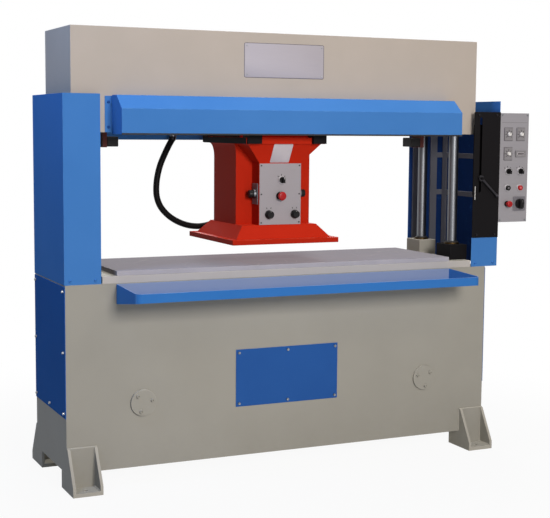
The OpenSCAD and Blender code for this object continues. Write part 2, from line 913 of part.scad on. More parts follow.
// Vertical motor on the tank lid, with its foot ring, ribs and fan cover
module pump_motor() {
    z0 = floor_z + tank_h;
    ribs = 20;
    color("#5f6a74") translate([-tank_l / 4, 30, z0]) union() {
        cylinder(h = 14, r = motor_r + 14);
        cylinder(h = motor_h - 50, r = motor_r - 8);
        translate([0, 0, motor_h - 50]) cylinder(h = 50, r = motor_r);
        for (i = [0 : ribs - 1]) rotate(i * 360 / ribs)
            translate([motor_r - 10, -1.5, 20]) cube([10, 3, motor_h - 80]);
    }
}

module valve_block() {
    z0 = floor_z + tank_h;
    color(steel) translate([tank_l / 4, 30, z0]) union() {
        translate([-valve_l / 2, -45, 0]) cube([valve_l, 90, 80]);
        for (x = [-valve_l / 4, valve_l / 4]) translate([x, 0, 80]) cylinder(h = 60, r = 22);
    }
}

// Cylinder barrels that pull the yokes down, with a gland at the top
module cylinders() {
    color("#5f6a74") both_ends() translate([column_x, 0, floor_z]) difference() {
        cylinder(h = barrel_h, r = barrel_r);
        translate([0, 0, barrel_wall]) cylinder(h = barrel_h - 2 * barrel_wall, r = barrel_r - barrel_wall);
        translate([0, 0, barrel_h - barrel_wall - 1]) cylinder(h = barrel_wall + 2, r = rod_r + run_gap);
    }
}

// Flanged pivot pins: round flange on the front plate, pin inside
module pivot_pins() {
    color(beige) both_ends() {
        bar_y(pivot_x, pivot_z, front_y - pivot_flange_t, front_y, pivot_flange_r);
        bar_y(pivot_x, pivot_z, front_y - 1, crank_y + crank_t + 1, pivot_r);
    }
}

// Beam and what it carries

module beam() {
    color(beige) difference() {
        span([-beam_x, -beam_y, beam_z], [beam_x, beam_y, beam_z + beam_h]);
        span([-beam_x + beam_wall, -beam_y + beam_wall, beam_z + beam_wall],
             [beam_x - beam_wall, beam_y - beam_wall, beam_z + beam_h - beam_wall]);
        four_corners() translate([column_x, column_y, beam_z - 1])
            cylinder(h = beam_wall + 2, r = tail_r + hole_gap);
    }
}

// Columns with a threaded tail and nut at both ends
module columns() {
    nut_h = 24;
    nut_r = tail_r + 10;
    color(chrome) four_corners() translate([column_x, column_y, 0]) {
        translate([0, 0, yoke_z + yoke_h]) cylinder(h = beam_z - yoke_z - yoke_h, r = column_r);
        translate([0, 0, yoke_z - nut_h]) cylinder(h = yoke_h + nut_h + 1, r = tail_r);
        translate([0, 0, yoke_z - nut_h]) cylinder(h = nut_h, r = nut_r, $fn = 6);
        translate([0, 0, beam_z - 1]) cylinder(h = beam_wall + nut_h, r = tail_r);
        translate([0, 0, beam_z + beam_wall]) cylinder(h = nut_h, r = nut_r, $fn = 6);
    }
}

// Outline of a beam guard with level top, slope and upright face: drawn in under its sheet, and
// carried on below its foot
function trough_outline(inset, below = 0) = let (top_z = trough_z + trough_face_h + trough_slope_h) [
    [beam_y, trough_z - below],
    [beam_y + trough_d - inset, trough_z - below],
    [beam_y + trough_d - inset, trough_z + trough_face_h - inset / 2],
    [beam_y + trough_top_d - inset / 2, top_z - inset],
    [beam_y, top_z - inset]
];

// A folded sheet with two end plates set in it, and a fastening ear on the left one, on the rear face
module trough() {
    set_in = sheet_t + seam;
    difference() {
        along_x(trough_outline(0), trough_x0, trough_x1);
        along_x(trough_outline(sheet_t, below = 1), trough_x0 - 1, trough_x1 + 1);
    }
    along_x(trough_outline(set_in), trough_x1 - sheet_t, trough_x1);
    along_x(trough_outline(set_in), trough_x0, trough_x0 + sheet_t);
    span([trough_x0 - trough_ear_w, beam_y, beam_z],
         [trough_x0 + sheet_t, beam_y + sheet_t, trough_z + trough_face_h + trough_slope_h - set_in]);
}

module beam_guard_front() {
    color(blue) mirror([0, 1, 0]) trough();
}

// The rear guard has a strip welded on behind the foot of its left part, where the hose hangs
module beam_guard_rear() {
    strip_y = beam_y + trough_d + seam;
    strip_lap = 20;
    color(blue) {
        trough();
        span([trough_x0, strip_y, trough_z - strip_drop],
             [trough_x0 + strip_l, strip_y + sheet_t, trough_z + strip_lap]);
    }
}

module rails() {
    color(steel) both_faces() span([trough_x0 + 12, rail_y, rail_z - rail_t],
                                   [trough_x1 - 12, rail_y + rail_d, rail_z]);
}

module stop_brackets() {
    color("#6b3f3a") both_ends() span([stop_x + buffer_l, -buffer_w / 2, flange_top - buffer_h - 3],
                                      [stop_x + buffer_l + stop_bracket_t, buffer_w / 2, beam_z]);
}

module stop_buffers() {
    color(black) both_ends() span([stop_x, -buffer_w / 2, flange_top - buffer_h],
                                  [stop_x + buffer_l, buffer_w / 2, flange_top]);
}

// Yokes that tie the columns' tails together, with a slot for the crank roller at the front
module lift_yokes() {
    slot_mid = pivot_x + roller_x - column_x;
    half_slot = roller_r + lift_arm - roller_x + 3;
    color(steel) both_ends() translate([column_x, 0, yoke_z]) difference() {
        translate([-yoke_w / 2 - 10, -yoke_d / 2, 0]) cube([yoke_w, yoke_d, yoke_h]);
        both_faces() translate([0, column_y, -1]) cylinder(h = yoke_h + 2, r = tail_r + hole_gap);
        translate([slot_mid - half_slot, -yoke_d / 2 - 1, yoke_h / 2 - roller_r - roller_gap])
            cube([2 * half_slot, 31, 2 * (roller_r + roller_gap)]);
    }
}

module piston_rods() {
    color(chrome) both_ends() translate([column_x, 0, 0]) {
        translate([0, 0, piston_z]) cylinder(h = yoke_z - piston_z, r = rod_r);
        translate([0, 0, piston_z]) cylinder(h = piston_h, r = barrel_r - barrel_wall - run_gap);
    }
}

// A bell crank on the right; the left one is its mirror image with the tie arm hanging down
module crank(tie_side) {
    y0 = crank_y;
    y1 = crank_y + crank_t;
    hub_r = pivot_r + hub_wall;
    tie_angle = tie_side * (90 + tie_side * lift_swing);
    difference() {
        union() {
            bar_y(pivot_x, pivot_z, y0, y1, hub_r);
            translate([pivot_x, y1, pivot_z]) rotate([90, 0, 0]) linear_extrude(crank_t) {
                rotate(lift_swing) translate([0, -lift_arm_w / 2]) square([lift_arm, lift_arm_w]);
                rotate(lift_swing) translate([lift_arm, 0]) circle(lift_arm_w / 2);
                rotate(tie_angle) translate([0, -tie_arm_w / 2]) square([tie_arm, tie_arm_w]);
                rotate(tie_angle) translate([tie_arm, 0]) circle(tie_arm_w / 2);
            }
            translate([pivot_x + roller_x, y1, slot_z])
                rotate([-90, 0, 0]) cylinder(h = -yoke_d / 2 + 28 - y1, r = roller_r);
            translate([pivot_x + tie_arm * cos(tie_angle), y1, pivot_z + tie_arm * sin(tie_angle)])
                rotate([-90, 0, 0]) cylinder(h = tie_t + 6, r = tie_pin_r);
        }
        bar_y(pivot_x, pivot_z, y0 - 1, y1 + 1, pivot_r + run_gap);
    }
}

module crank_right() {
    color(steel) crank(1);
}

module crank_left() {
    color(steel) mirror([1, 0, 0]) crank(-1);
}

// Crossed tie rod: from the left crank's lower arm to the right crank's upper arm
module tie_rod() {
    offset_x = tie_arm * sin(lift_swing);
    a = [-pivot_x - offset_x, pivot_z - tie_rise];
    b = [pivot_x - offset_x, pivot_z + tie_rise];
    slope = atan2(b[1] - a[1], b[0] - a[0]);
    eye_r = tie_pin_r + tie_gap + 8;
    color(steel) translate([0, tie_y + tie_t, 0]) rotate([90, 0, 0]) linear_extrude(tie_t) difference() {
        union() {
            translate(a) circle(eye_r);
            translate(b) circle(eye_r);
            translate(a) rotate(slope) translate([0, -9]) square([norm(b - a), 18]);
        }
        translate(a) circle(tie_pin_r + tie_gap);
        translate(b) circle(tie_pin_r + tie_gap);
    }
}

// Travelling head

module platen() {
    color(red) translate([head_x, 0, platen_z]) translate([-platen_w / 2, -platen_d / 2, 0])
        cube([platen_w, platen_d, platen_t]);
}

// A curve from a wall out to the underside of the flange
function flare_curve(wall, reach) = let (rise = flare_h * 0.75, steps = 8) [
    for (i = [0 : steps]) let (a = 90 * i / steps)
        [wall + reach * (1 - cos(a)), flange_z - rise + rise * sin(a)]
];

// The main body, whose sides and back curve out under the flange
module main_body() {
    back = head_d / 2 + head_back;
    right = flare_curve(body_w / 2, side_flare);
    left = [for (i = [len(right) - 1 : -1 : 0]) [-right[i][0], right[i][1]]];
    along_y(concat([[-body_w / 2, body_z], [body_w / 2, body_z]], right, left), -head_d / 2, back);
    along_x(concat([[0, body_z], [back, body_z]], flare_curve(back, back_flare), [[0, flange_z]]),
            -body_w / 2, body_w / 2);
}

// A housing on the front that widens into the top flange
module housing() {
    half_w = housing_w / 2;
    span([-half_w, -housing_y, body_z], [half_w, 0, flare_z]);
    intersection() {
        along_y([[-half_w, flare_z], [half_w, flare_z], [half_w + flare_side, flange_z],
                 [-half_w - flare_side, flange_z]], -flange_d / 2, 0);
        along_x([[0, flare_z], [-housing_y, flare_z], [flange_lip - flange_d / 2, flange_z], [0, flange_z]],
                -flange_w, flange_w);
    }
}

// Bores for the stems of the controls on the housing
module stem_bores() {
    bore_r = stem_r + 1;
    for (c = head_controls) bar_y(c[0], c[1], -housing_y - 1, -housing_y + stem_l + 12, bore_r);
    both_ends() bar_x(side_button_y, side_button_z, housing_w / 2 - stem_l - 12, housing_w / 2 + 1, bore_r);
}

module head_body() {
    color(red) translate([head_x, 0, 0]) difference() {
        union() {
            intersection() {
                along_y([[-skirt_w / 2, skirt_z], [skirt_w / 2, skirt_z], [body_w / 2, body_z],
                         [-body_w / 2, body_z]], -skirt_d / 2, skirt_d / 2);
                along_x([[-skirt_d / 2, skirt_z], [skirt_d / 2, skirt_z], [skirt_d / 2 - skirt_in, body_z],
                         [-skirt_d / 2 + skirt_in, body_z]], -skirt_w / 2, skirt_w / 2);
            }
            main_body();
            housing();
            span([-housing_w / 2, 0, body_z], [housing_w / 2, housing_y, flange_z]);
            span([-flange_w / 2, -flange_d / 2, flange_z], [flange_w / 2, flange_d / 2, flange_top]);
            span([-body_w / 2, -pad_d / 2, flange_top], [body_w / 2, pad_d / 2, flange_top + pad_h]);
        }
        stem_bores();
    }
}

// Control plate on the front of the housing, and the two small plates under the side buttons
module head_panel() {
    w = housing_w - 2 * head_panel_margin;
    color(panel_grey) translate([head_x, 0, 0]) {
        difference() {
            span([-w / 2, panel_y, body_z + 1], [w / 2, -housing_y, body_z + 1 + head_panel_h]);
            turn_hole(head_controls[0][0], head_controls[0][1], panel_y);
            slide_hole(head_controls[1][0], head_controls[1][1], panel_y);
            turn_hole(head_controls[2][0], head_controls[2][1], panel_y);
            turn_hole(head_controls[3][0], head_controls[3][1], panel_y);
        }
        both_ends() difference() {
            span([housing_w / 2, side_button_y - side_plate_w / 2, side_button_z - side_plate_h / 2],
                 [housing_w / 2 + panel_t, side_button_y + side_plate_w / 2,
                  side_button_z + side_plate_h / 2]);
            bar_x(side_button_y, side_button_z, housing_w / 2 - 1, housing_w / 2 + panel_t + 1,
                  stem_r + hole_gap);
        }
    }
}

module head_selector() {
    color(black) translate([head_x, 0, 0])
        grip_knob(head_controls[0][0], head_controls[0][1], panel_y, 14, selector_l);
}

module head_stop_button() {
    color(red) translate([head_x, 0, 0])
        mushroom_button(head_controls[1][0], head_controls[1][1], panel_y, head_stop_r, 34, 5);
}

module head_knob_left() {
    color(black) translate([head_x, 0, 0])
        round_knob(head_controls[2][0], head_controls[2][1], panel_y, knob_r, 24);
}

module head_knob_right() {
    color(black) translate([head_x, 0, 0])
        round_knob(head_controls[3][0], head_controls[3][1], panel_y, knob_r, 24);
}

// A two-hand button on the right side of the housing
module side_button() {
    x = housing_w / 2 + panel_t;
    travel = 6;
    bar_x(side_button_y, side_button_z, x + travel + move_gap, x + side_button_l, side_button_r);
    bar_x(side_button_y, side_button_z, x - stem_l, x + travel + 1, stem_r);
}

module side_button_right() {
    color(black) translate([head_x, 0, 0]) side_button();
}

module side_button_left() {
    color(black) translate([head_x, 0, 0]) mirror([1, 0, 0]) side_button();
}

// Hangers bolted to the flange's front and rear edges, each with its axle
module trolley_hangers() {
    foot_t = 12;
    x0 = wheel_half_gap - hanger_w / 2;
    x1 = wheel_half_gap + hanger_w / 2;
    color(black) translate([head_x, 0, 0]) four_corners() {
        span([x0, hanger_y, flange_z + 1], [x1, hanger_y + hanger_t, axle_z + 2 * axle_r + 2]);
        span([x0, hanger_y - hanger_foot_l, flange_top], [x1, hanger_y + 1, flange_top + foot_t]);
        bar_y(wheel_half_gap, axle_z, wheel_y - 3, hanger_y + 1, axle_r);
    }
}

// A wheel with a tread on the rail and a rim outside it
module wheel(sx, sy) {
    translate([head_x, 0, 0]) mirror([sx < 0 ? 1 : 0, 0, 0]) mirror([0, sy < 0 ? 1 : 0, 0]) difference() {
        union() {
            bar_y(wheel_half_gap, axle_z, wheel_y, wheel_y + wheel_w - move_gap, wheel_r - tread_gap);
            bar_y(wheel_half_gap, axle_z, wheel_y + 1, rim_y + 1, wheel_r * 0.6);
            bar_y(wheel_half_gap, axle_z, rim_y, rim_y + wheel_rim_t - move_gap, wheel_r + wheel_rim_h);
        }
        bar_y(wheel_half_gap, axle_z, wheel_y - 1, rim_y + wheel_rim_t + 1, axle_r + run_gap);
    }
}

module wheel_front_left() {
    color(steel) wheel(-1, -1);
}

module wheel_front_right() {
    color(steel) wheel(1, -1);
}

module wheel_rear_left() {
    color(steel) wheel(-1, 1);
}

module wheel_rear_right() {
    color(steel) wheel(1, 1);
}

// Hose and its glands

// Bracket inside the rear beam guard, with a spigot that points down
module hose_gland_beam() {
    half_w = hose_spigot_r + 9;
    guard_y = beam_y + trough_d - sheet_t;
    top_z = hose_start[2] + hose_spigot_h;
    color(steel) union() {
        span([hose_start[0] - half_w, hose_start[1] - hose_spigot_r - 2, top_z],
             [hose_start[0] + half_w, guard_y, top_z + hose_d]);
        translate(hose_start) cylinder(h = hose_spigot_h + 1, r = hose_spigot_r);
    }
}

// Block on the rear housing, with a spigot that points along the press to the hose
module hose_gland_head() {
    block = 60;
    x0 = hose_end[0] + hose_spigot_h;
    color(steel) union() {
        span([x0, housing_y, body_z], [x0 + block, hose_end[1] + hose_d, hose_end[2] + hose_d]);
        bar_x(hose_end[1], hose_end[2], hose_end[0], x0 + 1, hose_spigot_r);
    }
}

// Unit tangent of the hose at a point
function hose_dir(i) = let (
    last = len(hose_points) - 1,
    d = i == 0 ? [0, 0, -1] : i == last ? [1, 0, 0] : hose_points[i + 1] - hose_points[i - 1]
) d / norm(d);

// One ring of points round the hose
function hose_ring(i) = let (
    d = hose_dir(i),
    u = cross(d, [0, 1, 0]) / norm(cross(d, [0, 1, 0])),
    v = cross(d, u)
) [for (k = [0 : hose_sides - 1]) let (a = 360 * k / hose_sides)
    hose_points[i] + hose_d / 2 * (cos(a) * u + sin(a) * v)];

module hose() {
    rings = len(hose_points);
    n = hose_sides;
    points = [for (i = [0 : rings - 1]) each hose_ring(i)];
    sides = [for (i = [0 : rings - 2]) for (k = [0 : n - 1])
        [i * n + k, i * n + (k + 1) % n, (i + 1) * n + (k + 1) % n, (i + 1) * n + k]];
    color(black) polyhedron(points, concat([[for (k = [n - 1 : -1 : 0]) k]], sides,
                                           [[for (k = [0 : n - 1]) (rings - 1) * n + k]]));
}

base_frame();
feet();
bed_plate();
cutting_board();
front_tray();
access_cover();
side_covers();
left_guard();
right_guard();
guard_straps();
setting_panel();
control_box();
control_plate();
counter();
column_bushes();
oil_tank();
pump_motor();
valve_block();
cylinders();
pivot_pins();
beam();
columns();
beam_guard_front();
beam_guard_rear();
rails();
stop_brackets();
stop_buffers();
lift_yokes();
piston_rods();
hose();
hose_gland_beam();
head_body();
platen();
head_panel();
trolley_hangers();
hose_gland_head();
wheel_front_left();
wheel_front_right();
wheel_rear_left();
wheel_rear_right();
crank_left();
crank_right();
tie_rod();
setting_clamp();
clamp_lever();
timer_knob_1();
timer_knob_2();
timer_knob_3();
selector_left();
selector_right();
start_button();
stop_button();
emergency_stop();
main_switch();
head_selector();
head_stop_button();
head_knob_left();
head_knob_right();
side_button_left();
side_button_right();
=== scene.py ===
"""Travelling head cutting press: finishes, fittings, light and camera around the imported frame."""
import json
import math

import bmesh
import bpy
from mathutils import Matrix, Vector

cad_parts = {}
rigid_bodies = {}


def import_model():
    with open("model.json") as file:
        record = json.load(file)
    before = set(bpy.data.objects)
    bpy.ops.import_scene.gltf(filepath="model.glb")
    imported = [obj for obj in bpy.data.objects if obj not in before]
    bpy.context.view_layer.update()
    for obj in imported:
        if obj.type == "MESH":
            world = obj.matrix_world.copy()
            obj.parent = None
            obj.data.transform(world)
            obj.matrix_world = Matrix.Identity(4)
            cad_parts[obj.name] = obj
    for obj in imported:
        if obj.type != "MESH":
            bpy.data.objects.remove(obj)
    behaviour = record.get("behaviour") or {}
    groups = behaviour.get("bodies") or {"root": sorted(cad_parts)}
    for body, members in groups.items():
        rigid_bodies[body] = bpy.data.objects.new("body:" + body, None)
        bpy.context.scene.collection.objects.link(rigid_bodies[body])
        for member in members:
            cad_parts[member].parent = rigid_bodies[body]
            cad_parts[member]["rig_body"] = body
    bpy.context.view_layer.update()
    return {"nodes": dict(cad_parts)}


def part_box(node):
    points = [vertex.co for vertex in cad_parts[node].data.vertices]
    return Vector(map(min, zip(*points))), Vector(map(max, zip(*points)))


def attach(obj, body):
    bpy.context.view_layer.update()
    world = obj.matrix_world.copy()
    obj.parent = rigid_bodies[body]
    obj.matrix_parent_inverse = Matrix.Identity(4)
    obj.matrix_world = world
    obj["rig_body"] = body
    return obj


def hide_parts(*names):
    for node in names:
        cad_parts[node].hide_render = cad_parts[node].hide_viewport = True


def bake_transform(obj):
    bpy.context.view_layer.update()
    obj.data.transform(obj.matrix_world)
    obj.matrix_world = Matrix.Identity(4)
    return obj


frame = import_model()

MM = 0.001
nodes = frame["nodes"]


def mm(*values):
    """A point given in millimetres, in metres."""
    return Vector(v * MM for v in values)


# Shader and node helpers

def linear(hex_colour):
    """An sRGB hex colour as the linear RGBA that sockets take."""
    channels = [int(hex_colour[i:i + 2], 16) / 255 for i in (1, 3, 5)]
    return [c / 12.92 if c <= 0.04045 else ((c + 0.055) / 1.055) ** 2.4 for c in channels] + [1.0]


def per_mm(size):
    """The texture scale that gives features of this size in millimetres."""
    return 1.0 / (size * MM)


def add(tree, kind, settings=None, inputs=None):
    """Adds a node with its settings, and its inputs as values or as links, which come from a socket or
    from a node's first output."""
    node = tree.nodes.new(kind)
    for name, value in (settings or {}).items():
        setattr(node, name, value)
    for key, value in (inputs or {}).items():
        if isinstance(value, bpy.types.Node):
            value = value.outputs[0]
        if isinstance(value, bpy.types.NodeSocket):
            tree.links.new(value, node.inputs[key])
        else:
            node.inputs[key].default_value = value
    return node


# Node kinds and settings that many trees share
NOISE, RANGE, MIX, MATH = "ShaderNodeTexNoise", "ShaderNodeMapRange", "ShaderNodeMix", "ShaderNodeMath"
COLOURS = {"data_type": "RGBA"}
TIMES = {"operation": "MULTIPLY"}
# A Mix node's colour sockets have the same names as its number sockets, so they go by place
MIX_A, MIX_B, MIX_OUT = 6, 7, 2


def new_finish(name):
    """A new material with its tree, its main shader and object coordinates."""
    material = bpy.data.materials.new(name)
    material.use_nodes = True
    tree = material.node_tree
    place = add(tree, "ShaderNodeTexCoord").outputs["Object"]
    return material, tree, tree.nodes["Principled BSDF"], place


def dress(tree, shader, colour, gloss, rough, relief, strength, depth):
    """Ends a finish: its colour, a roughness that follows gloss between the two values of rough, and
    its relief as bump, depth millimetres deep."""
    sheen = add(tree, RANGE, None, {"Value": gloss, "To Min": rough[0], "To Max": rough[1]})
    bump = add(tree, "ShaderNodeBump", None,
               {"Height": relief, "Strength": strength, "Distance": depth * MM})
    tree.links.new(colour, shader.inputs["Base Color"])
    tree.links.new(sheen.outputs["Result"], shader.inputs["Roughness"])
    tree.links.new(bump.outputs["Normal"], shader.inputs["Normal"])


# Finishes

def sprayed_enamel(name, colour, thin, pale_tone, rough, shine=0.03, low_tone=None):
    """Semi-gloss enamel sprayed on steel: slow drift of tone between passes of the gun, faint orange
    peel, a film of dust, and edges paler in patches, partly wear and partly painted edge highlight.
    low_tone is a share, a colour, and the heights in metres that it is full below and gone above."""
    material, tree, shader, place = new_finish(name)
    drift = add(tree, NOISE, None, {"Vector": place, "Scale": per_mm(520), "Detail": 4.0, "Roughness": 0.6})
    spread = add(tree, RANGE, None, {"Value": drift, "From Min": 0.3, "From Max": 0.7})
    coat = add(tree, MIX, COLOURS, {"Factor": spread, MIX_A: linear(colour), MIX_B: linear(thin)})
    # Specks of dust in the coat, really under 1 mm and drawn at 5 mm so that they show
    specks = add(tree, NOISE, None, {"Vector": place, "Scale": per_mm(5), "Detail": 2.0, "Roughness": 0.7})
    dusty = add(tree, RANGE, None, {"Value": specks, "From Min": 0.62, "From Max": 0.8, "To Max": 0.16})
    dusted = add(tree, MIX, COLOURS, {"Factor": dusty, MIX_A: coat.outputs[MIX_OUT], MIX_B: linear(pale_tone)})
    # Eased edges go paler in patches: partly wear, partly painted edge highlight
    edge = add(tree, "ShaderNodeAttribute", {"attribute_name": "rubbed"})
    patches = add(tree, NOISE, None,
                  {"Vector": place, "Scale": per_mm(60), "Detail": 5.0, "Roughness": 0.7})
    patch_share = add(tree, RANGE, None, {"Value": patches, "From Min": 0.46, "From Max": 0.62, "To Max": 0.75})
    wear_and_highlight_share = add(tree, MATH, TIMES, {0: edge.outputs["Fac"], 1: patch_share})
    rubbed = add(tree, MIX, COLOURS, {"Factor": wear_and_highlight_share, MIX_A: dusted.outputs[MIX_OUT], MIX_B: linear(pale_tone)})
    colour_out = rubbed.outputs[MIX_OUT]
    # A second colour that takes over low down, full below one height and gone above another
    if low_tone:
        share, low_colour, full, gone = low_tone
        height = add(tree, "ShaderNodeSeparateXYZ", None, {"Vector": place}).outputs["Z"]
        low = add(tree, RANGE, {"interpolation_type": "SMOOTHSTEP"},
                  {"Value": height, "From Min": gone, "From Max": full, "To Max": share})
        cloudy = add(tree, NOISE, None,
                     {"Vector": place, "Scale": per_mm(35), "Detail": 6.0, "Roughness": 0.65})
        low_mask = add(tree, MATH, {"operation": "MULTIPLY", "use_clamp": True}, {0: low, 1: cloudy})
        low_toned = add(tree, MIX, COLOURS, {"Factor": low_mask, MIX_A: colour_out, MIX_B: linear(low_colour)})
        colour_out = low_toned.outputs[MIX_OUT]
    # Orange peel is about 2 mm from crest to crest, and is drawn at 7 mm so that it shows
    peel = add(tree, NOISE, None, {"Vector": place, "Scale": per_mm(7), "Detail": 1.0, "Roughness": 0.4})
    dress(tree, shader, colour_out, specks, (rough - 0.06, rough + 0.1), peel, 0.06, 0.6)
    shader.inputs["Specular IOR Level"].default_value = shine
    return material


def metal(name, colour, dark, rough, grain, bump_strength):
    """Bare metal with tool marks: fine lines drawn out along the cut, a little uneven in gloss.
    grain is the size of the marks along X, Y and Z in millimetres."""
    material, tree, shader, place = new_finish(name)
    along = add(tree, "ShaderNodeMapping", None,
                {"Vector": place, "Scale": [per_mm(size) for size in grain]})
    marks = add(tree, NOISE, None, {"Vector": along, "Scale": 1.0, "Detail": 4.0, "Roughness": 0.6})
    smears = add(tree, NOISE, None, {"Vector": place, "Scale": per_mm(90), "Detail": 3.0})
    tone = add(tree, MIX, COLOURS, {"Factor": smears, MIX_A: linear(colour), MIX_B: linear(dark)})
    dress(tree, shader, tone.outputs[MIX_OUT], marks, (rough - 0.05, rough + 0.12),
          marks, bump_strength, 0.4)
    shader.inputs["Metallic"].default_value = 1.0
    return material


def moulded(name, colour, pale, rough, speck, specular):
    """Moulded plastic or rubber: even colour with a little bloom, fine spark-eroded texture.
    speck is the size of the texture in millimetres, far coarser than the real one so that it shows."""
    material, tree, shader, place = new_finish(name)
    bloom = add(tree, NOISE, None, {"Vector": place, "Scale": per_mm(28), "Detail": 4.0, "Roughness": 0.6})
    tone = add(tree, MIX, COLOURS, {"Factor": bloom, MIX_A: linear(colour), MIX_B: linear(pale)})
    texture = add(tree, "ShaderNodeTexVoronoi", None, {"Vector": place, "Scale": per_mm(speck)})
    dress(tree, shader, tone.outputs[MIX_OUT], bloom, (rough - 0.08, rough + 0.08), texture, 0.12, 0.3)
    shader.inputs["Specular IOR Level"].default_value = specular
    return material


def cutting_nylon():
    """Sawn nylon board: dull grey top, crossed all over by fine knife marks, and paler sides."""
    material, tree, shader, place = new_finish("cutting_nylon")
    facing = add(tree, "ShaderNodeNewGeometry").outputs["Normal"]
    upward = add(tree, "ShaderNodeSeparateXYZ", None, {"Vector": facing}).outputs["Z"]
    top = add(tree, RANGE, None, {"Value": upward, "From Min": 0.3, "From Max": 0.9})
    side = add(tree, MIX, COLOURS, {"Factor": top, MIX_A: linear("#b4b0b5"), MIX_B: linear("#949198")})
    clouds = add(tree, NOISE, None,
                 {"Vector": place, "Scale": per_mm(180), "Detail": 5.0, "Roughness": 0.6})
    tone = add(tree, RANGE, None, {"Value": clouds, "From Min": 0.3, "From Max": 0.7, "To Max": 0.35})
    stained = add(tree, MIX, COLOURS,
                  {"Factor": tone, MIX_A: side.outputs[MIX_OUT], MIX_B: linear("#8b888d")})
    # Die outlines that the knives leave, as wide as 3 mm here so that they show
    warp = add(tree, NOISE, None, {"Vector": place, "Scale": per_mm(300), "Detail": 1.0})
    bent = add(tree, MIX, COLOURS, {"Factor": 0.12, MIX_A: place, MIX_B: warp.outputs["Color"]})
    cells = add(tree, "ShaderNodeTexVoronoi", {"feature": "DISTANCE_TO_EDGE"},
                {"Vector": bent.outputs[MIX_OUT], "Scale": per_mm(110)})
    line = add(tree, RANGE, None, {"Value": cells, "From Min": 0.03, "From Max": 0.0, "To Max": 1.0})
    fade = add(tree, RANGE, None, {"Value": clouds, "From Min": 0.45, "From Max": 0.65, "To Max": 0.5})
    scar = add(tree, MATH, TIMES, {0: line, 1: fade})
    marked = add(tree, MIX, COLOURS,
                 {"Factor": scar, MIX_A: stained.outputs[MIX_OUT], MIX_B: linear("#aca9ac")})
    tree.links.new(marked.outputs[MIX_OUT], shader.inputs["Base Color"])
    bump = add(tree, "ShaderNodeBump", {"invert": True},
               {"Height": scar, "Strength": 0.25, "Distance": 0.0008})
    tree.links.new(bump.outputs["Normal"], shader.inputs["Normal"])
    shader.inputs["Roughness"].default_value = 0.8
    shader.inputs["Specular IOR Level"].default_value = 0.0
    return material


def brushed_plate(name, colour, pale, metallic, rough):
    """Anodised aluminium sheet, brushed along X: soft grey with hair lines across the plate."""
    material, tree, shader, place = new_finish(name)
    # Hair lines are 0.2 mm apart, and are drawn at 2 mm so that they show
    hair = add(tree, "ShaderNodeMapping", None,
               {"Vector": place, "Scale": [per_mm(80), per_mm(2), per_mm(2)]})
    lines = add(tree, NOISE, None, {"Vector": hair, "Scale": 1.0, "Detail": 3.0, "Roughness": 0.6})
    tone = add(tree, MIX, COLOURS, {"Factor": lines, MIX_A: linear(colour), MIX_B: linear(pale)})
    dress(tree, shader, tone.outputs[MIX_OUT], lines, (rough - 0.06, rough + 0.1), lines, 0.08, 0.3)
    shader.inputs["Metallic"].default_value = metallic
    return material


# Beige enamel on the beam: warm, clean and satin
BEIGE = sprayed_enamel("beige_sprayed_enamel", "#b9aea3", "#b1a79c", "#c8c0b5", 0.45)
# The same coat on the base, painted darker and greyer as painted shade lower down, and darker still towards
# the floor
SHADED_BASE_BEIGE = sprayed_enamel("dusty_beige_enamel", "#9e9b92", "#98958c", "#b9b4a8", 0.5,
                            low_tone=(0.12, "#4a4640", 0.0, 0.34))
# The bed's front faces: a paler beige than the base
BED_BEIGE = sprayed_enamel("worn_beige_enamel", "#bcb7b2", "#b4afaa", "#c8c3bd", 0.5)
# The feet's end faces and the welds: a paler beige
FOOT_BEIGE = sprayed_enamel("pale_beige_enamel", "#aaa69c", "#a29e94", "#b8b3a8", 0.5)
# Blue enamel on folded sheet: clear mid blue, even and hardly glossy
BLUE = sprayed_enamel("blue_sprayed_enamel", "#467cbc", "#4076b6", "#6092cb", 0.62, shine=0.008)
# The access cover's coat: darker, with more gloss
DEEP_BLUE = sprayed_enamel("deep_blue_enamel", "#2a5799", "#265193", "#5580b8", 0.42)
# The side covers' blue, painted darker and flat as painted shade low on the machine's sides
SHADED_SIDE_BLUE = sprayed_enamel("dark_blue_enamel", "#285da2", "#26589a", "#426cab", 0.6, shine=0.006)
# Inside the column guards: blue with painted shade, dark below the beam's height and clear above it
SHADED_INNER_BLUE = sprayed_enamel("oily_blue_enamel", "#3f76ba", "#386db2", "#5f88bd", 0.5,
                            low_tone=(2.4, "#19356a", 1.52, 1.58))
# Inside the tray: grey blue as painted bounce light off the beige base, turning to a deeper blue towards
# its foot as painted shade
BOUNCE_LIT_TRAY_BLUE = sprayed_enamel("dusty_blue_enamel", "#8a97b4", "#8293b3", "#9aa7c0", 0.5,
                            low_tone=(1.5, "#4a74ae", 0.755, 0.815))
# The tray's lip: a richer blue
TRAY_BLUE = sprayed_enamel("rich_blue_enamel", "#3671b6", "#306bb0", "#5488c6", 0.6, shine=0.008)
# Red enamel on the head: warm signal red with a soft shine
RED = sprayed_enamel("red_sprayed_enamel", "#b42713", "#ac2310", "#c84a35", 0.45, shine=0.022)
# Black enamel: a soft black that hardly shines
BLACK = sprayed_enamel("black_sprayed_enamel", "#171517", "#141314", "#2e2c2e", 0.6, shine=0.05)
# Primer on the tank, motor and cylinders: dull mid grey
GREY = sprayed_enamel("grey_primer_enamel", "#6c6d73", "#626369", "#8c8d92", 0.5)
# Primer on the guard's straps: dull blue-grey
STRAP_GREY = sprayed_enamel("dull_grey_primer", "#747680", "#6c6e76", "#8c8e94", 0.55)
# Primer on the stop brackets: dull red-brown
BROWN = sprayed_enamel("brown_primer_enamel", "#6b3f3a", "#5f3733", "#8a635c", 0.5)
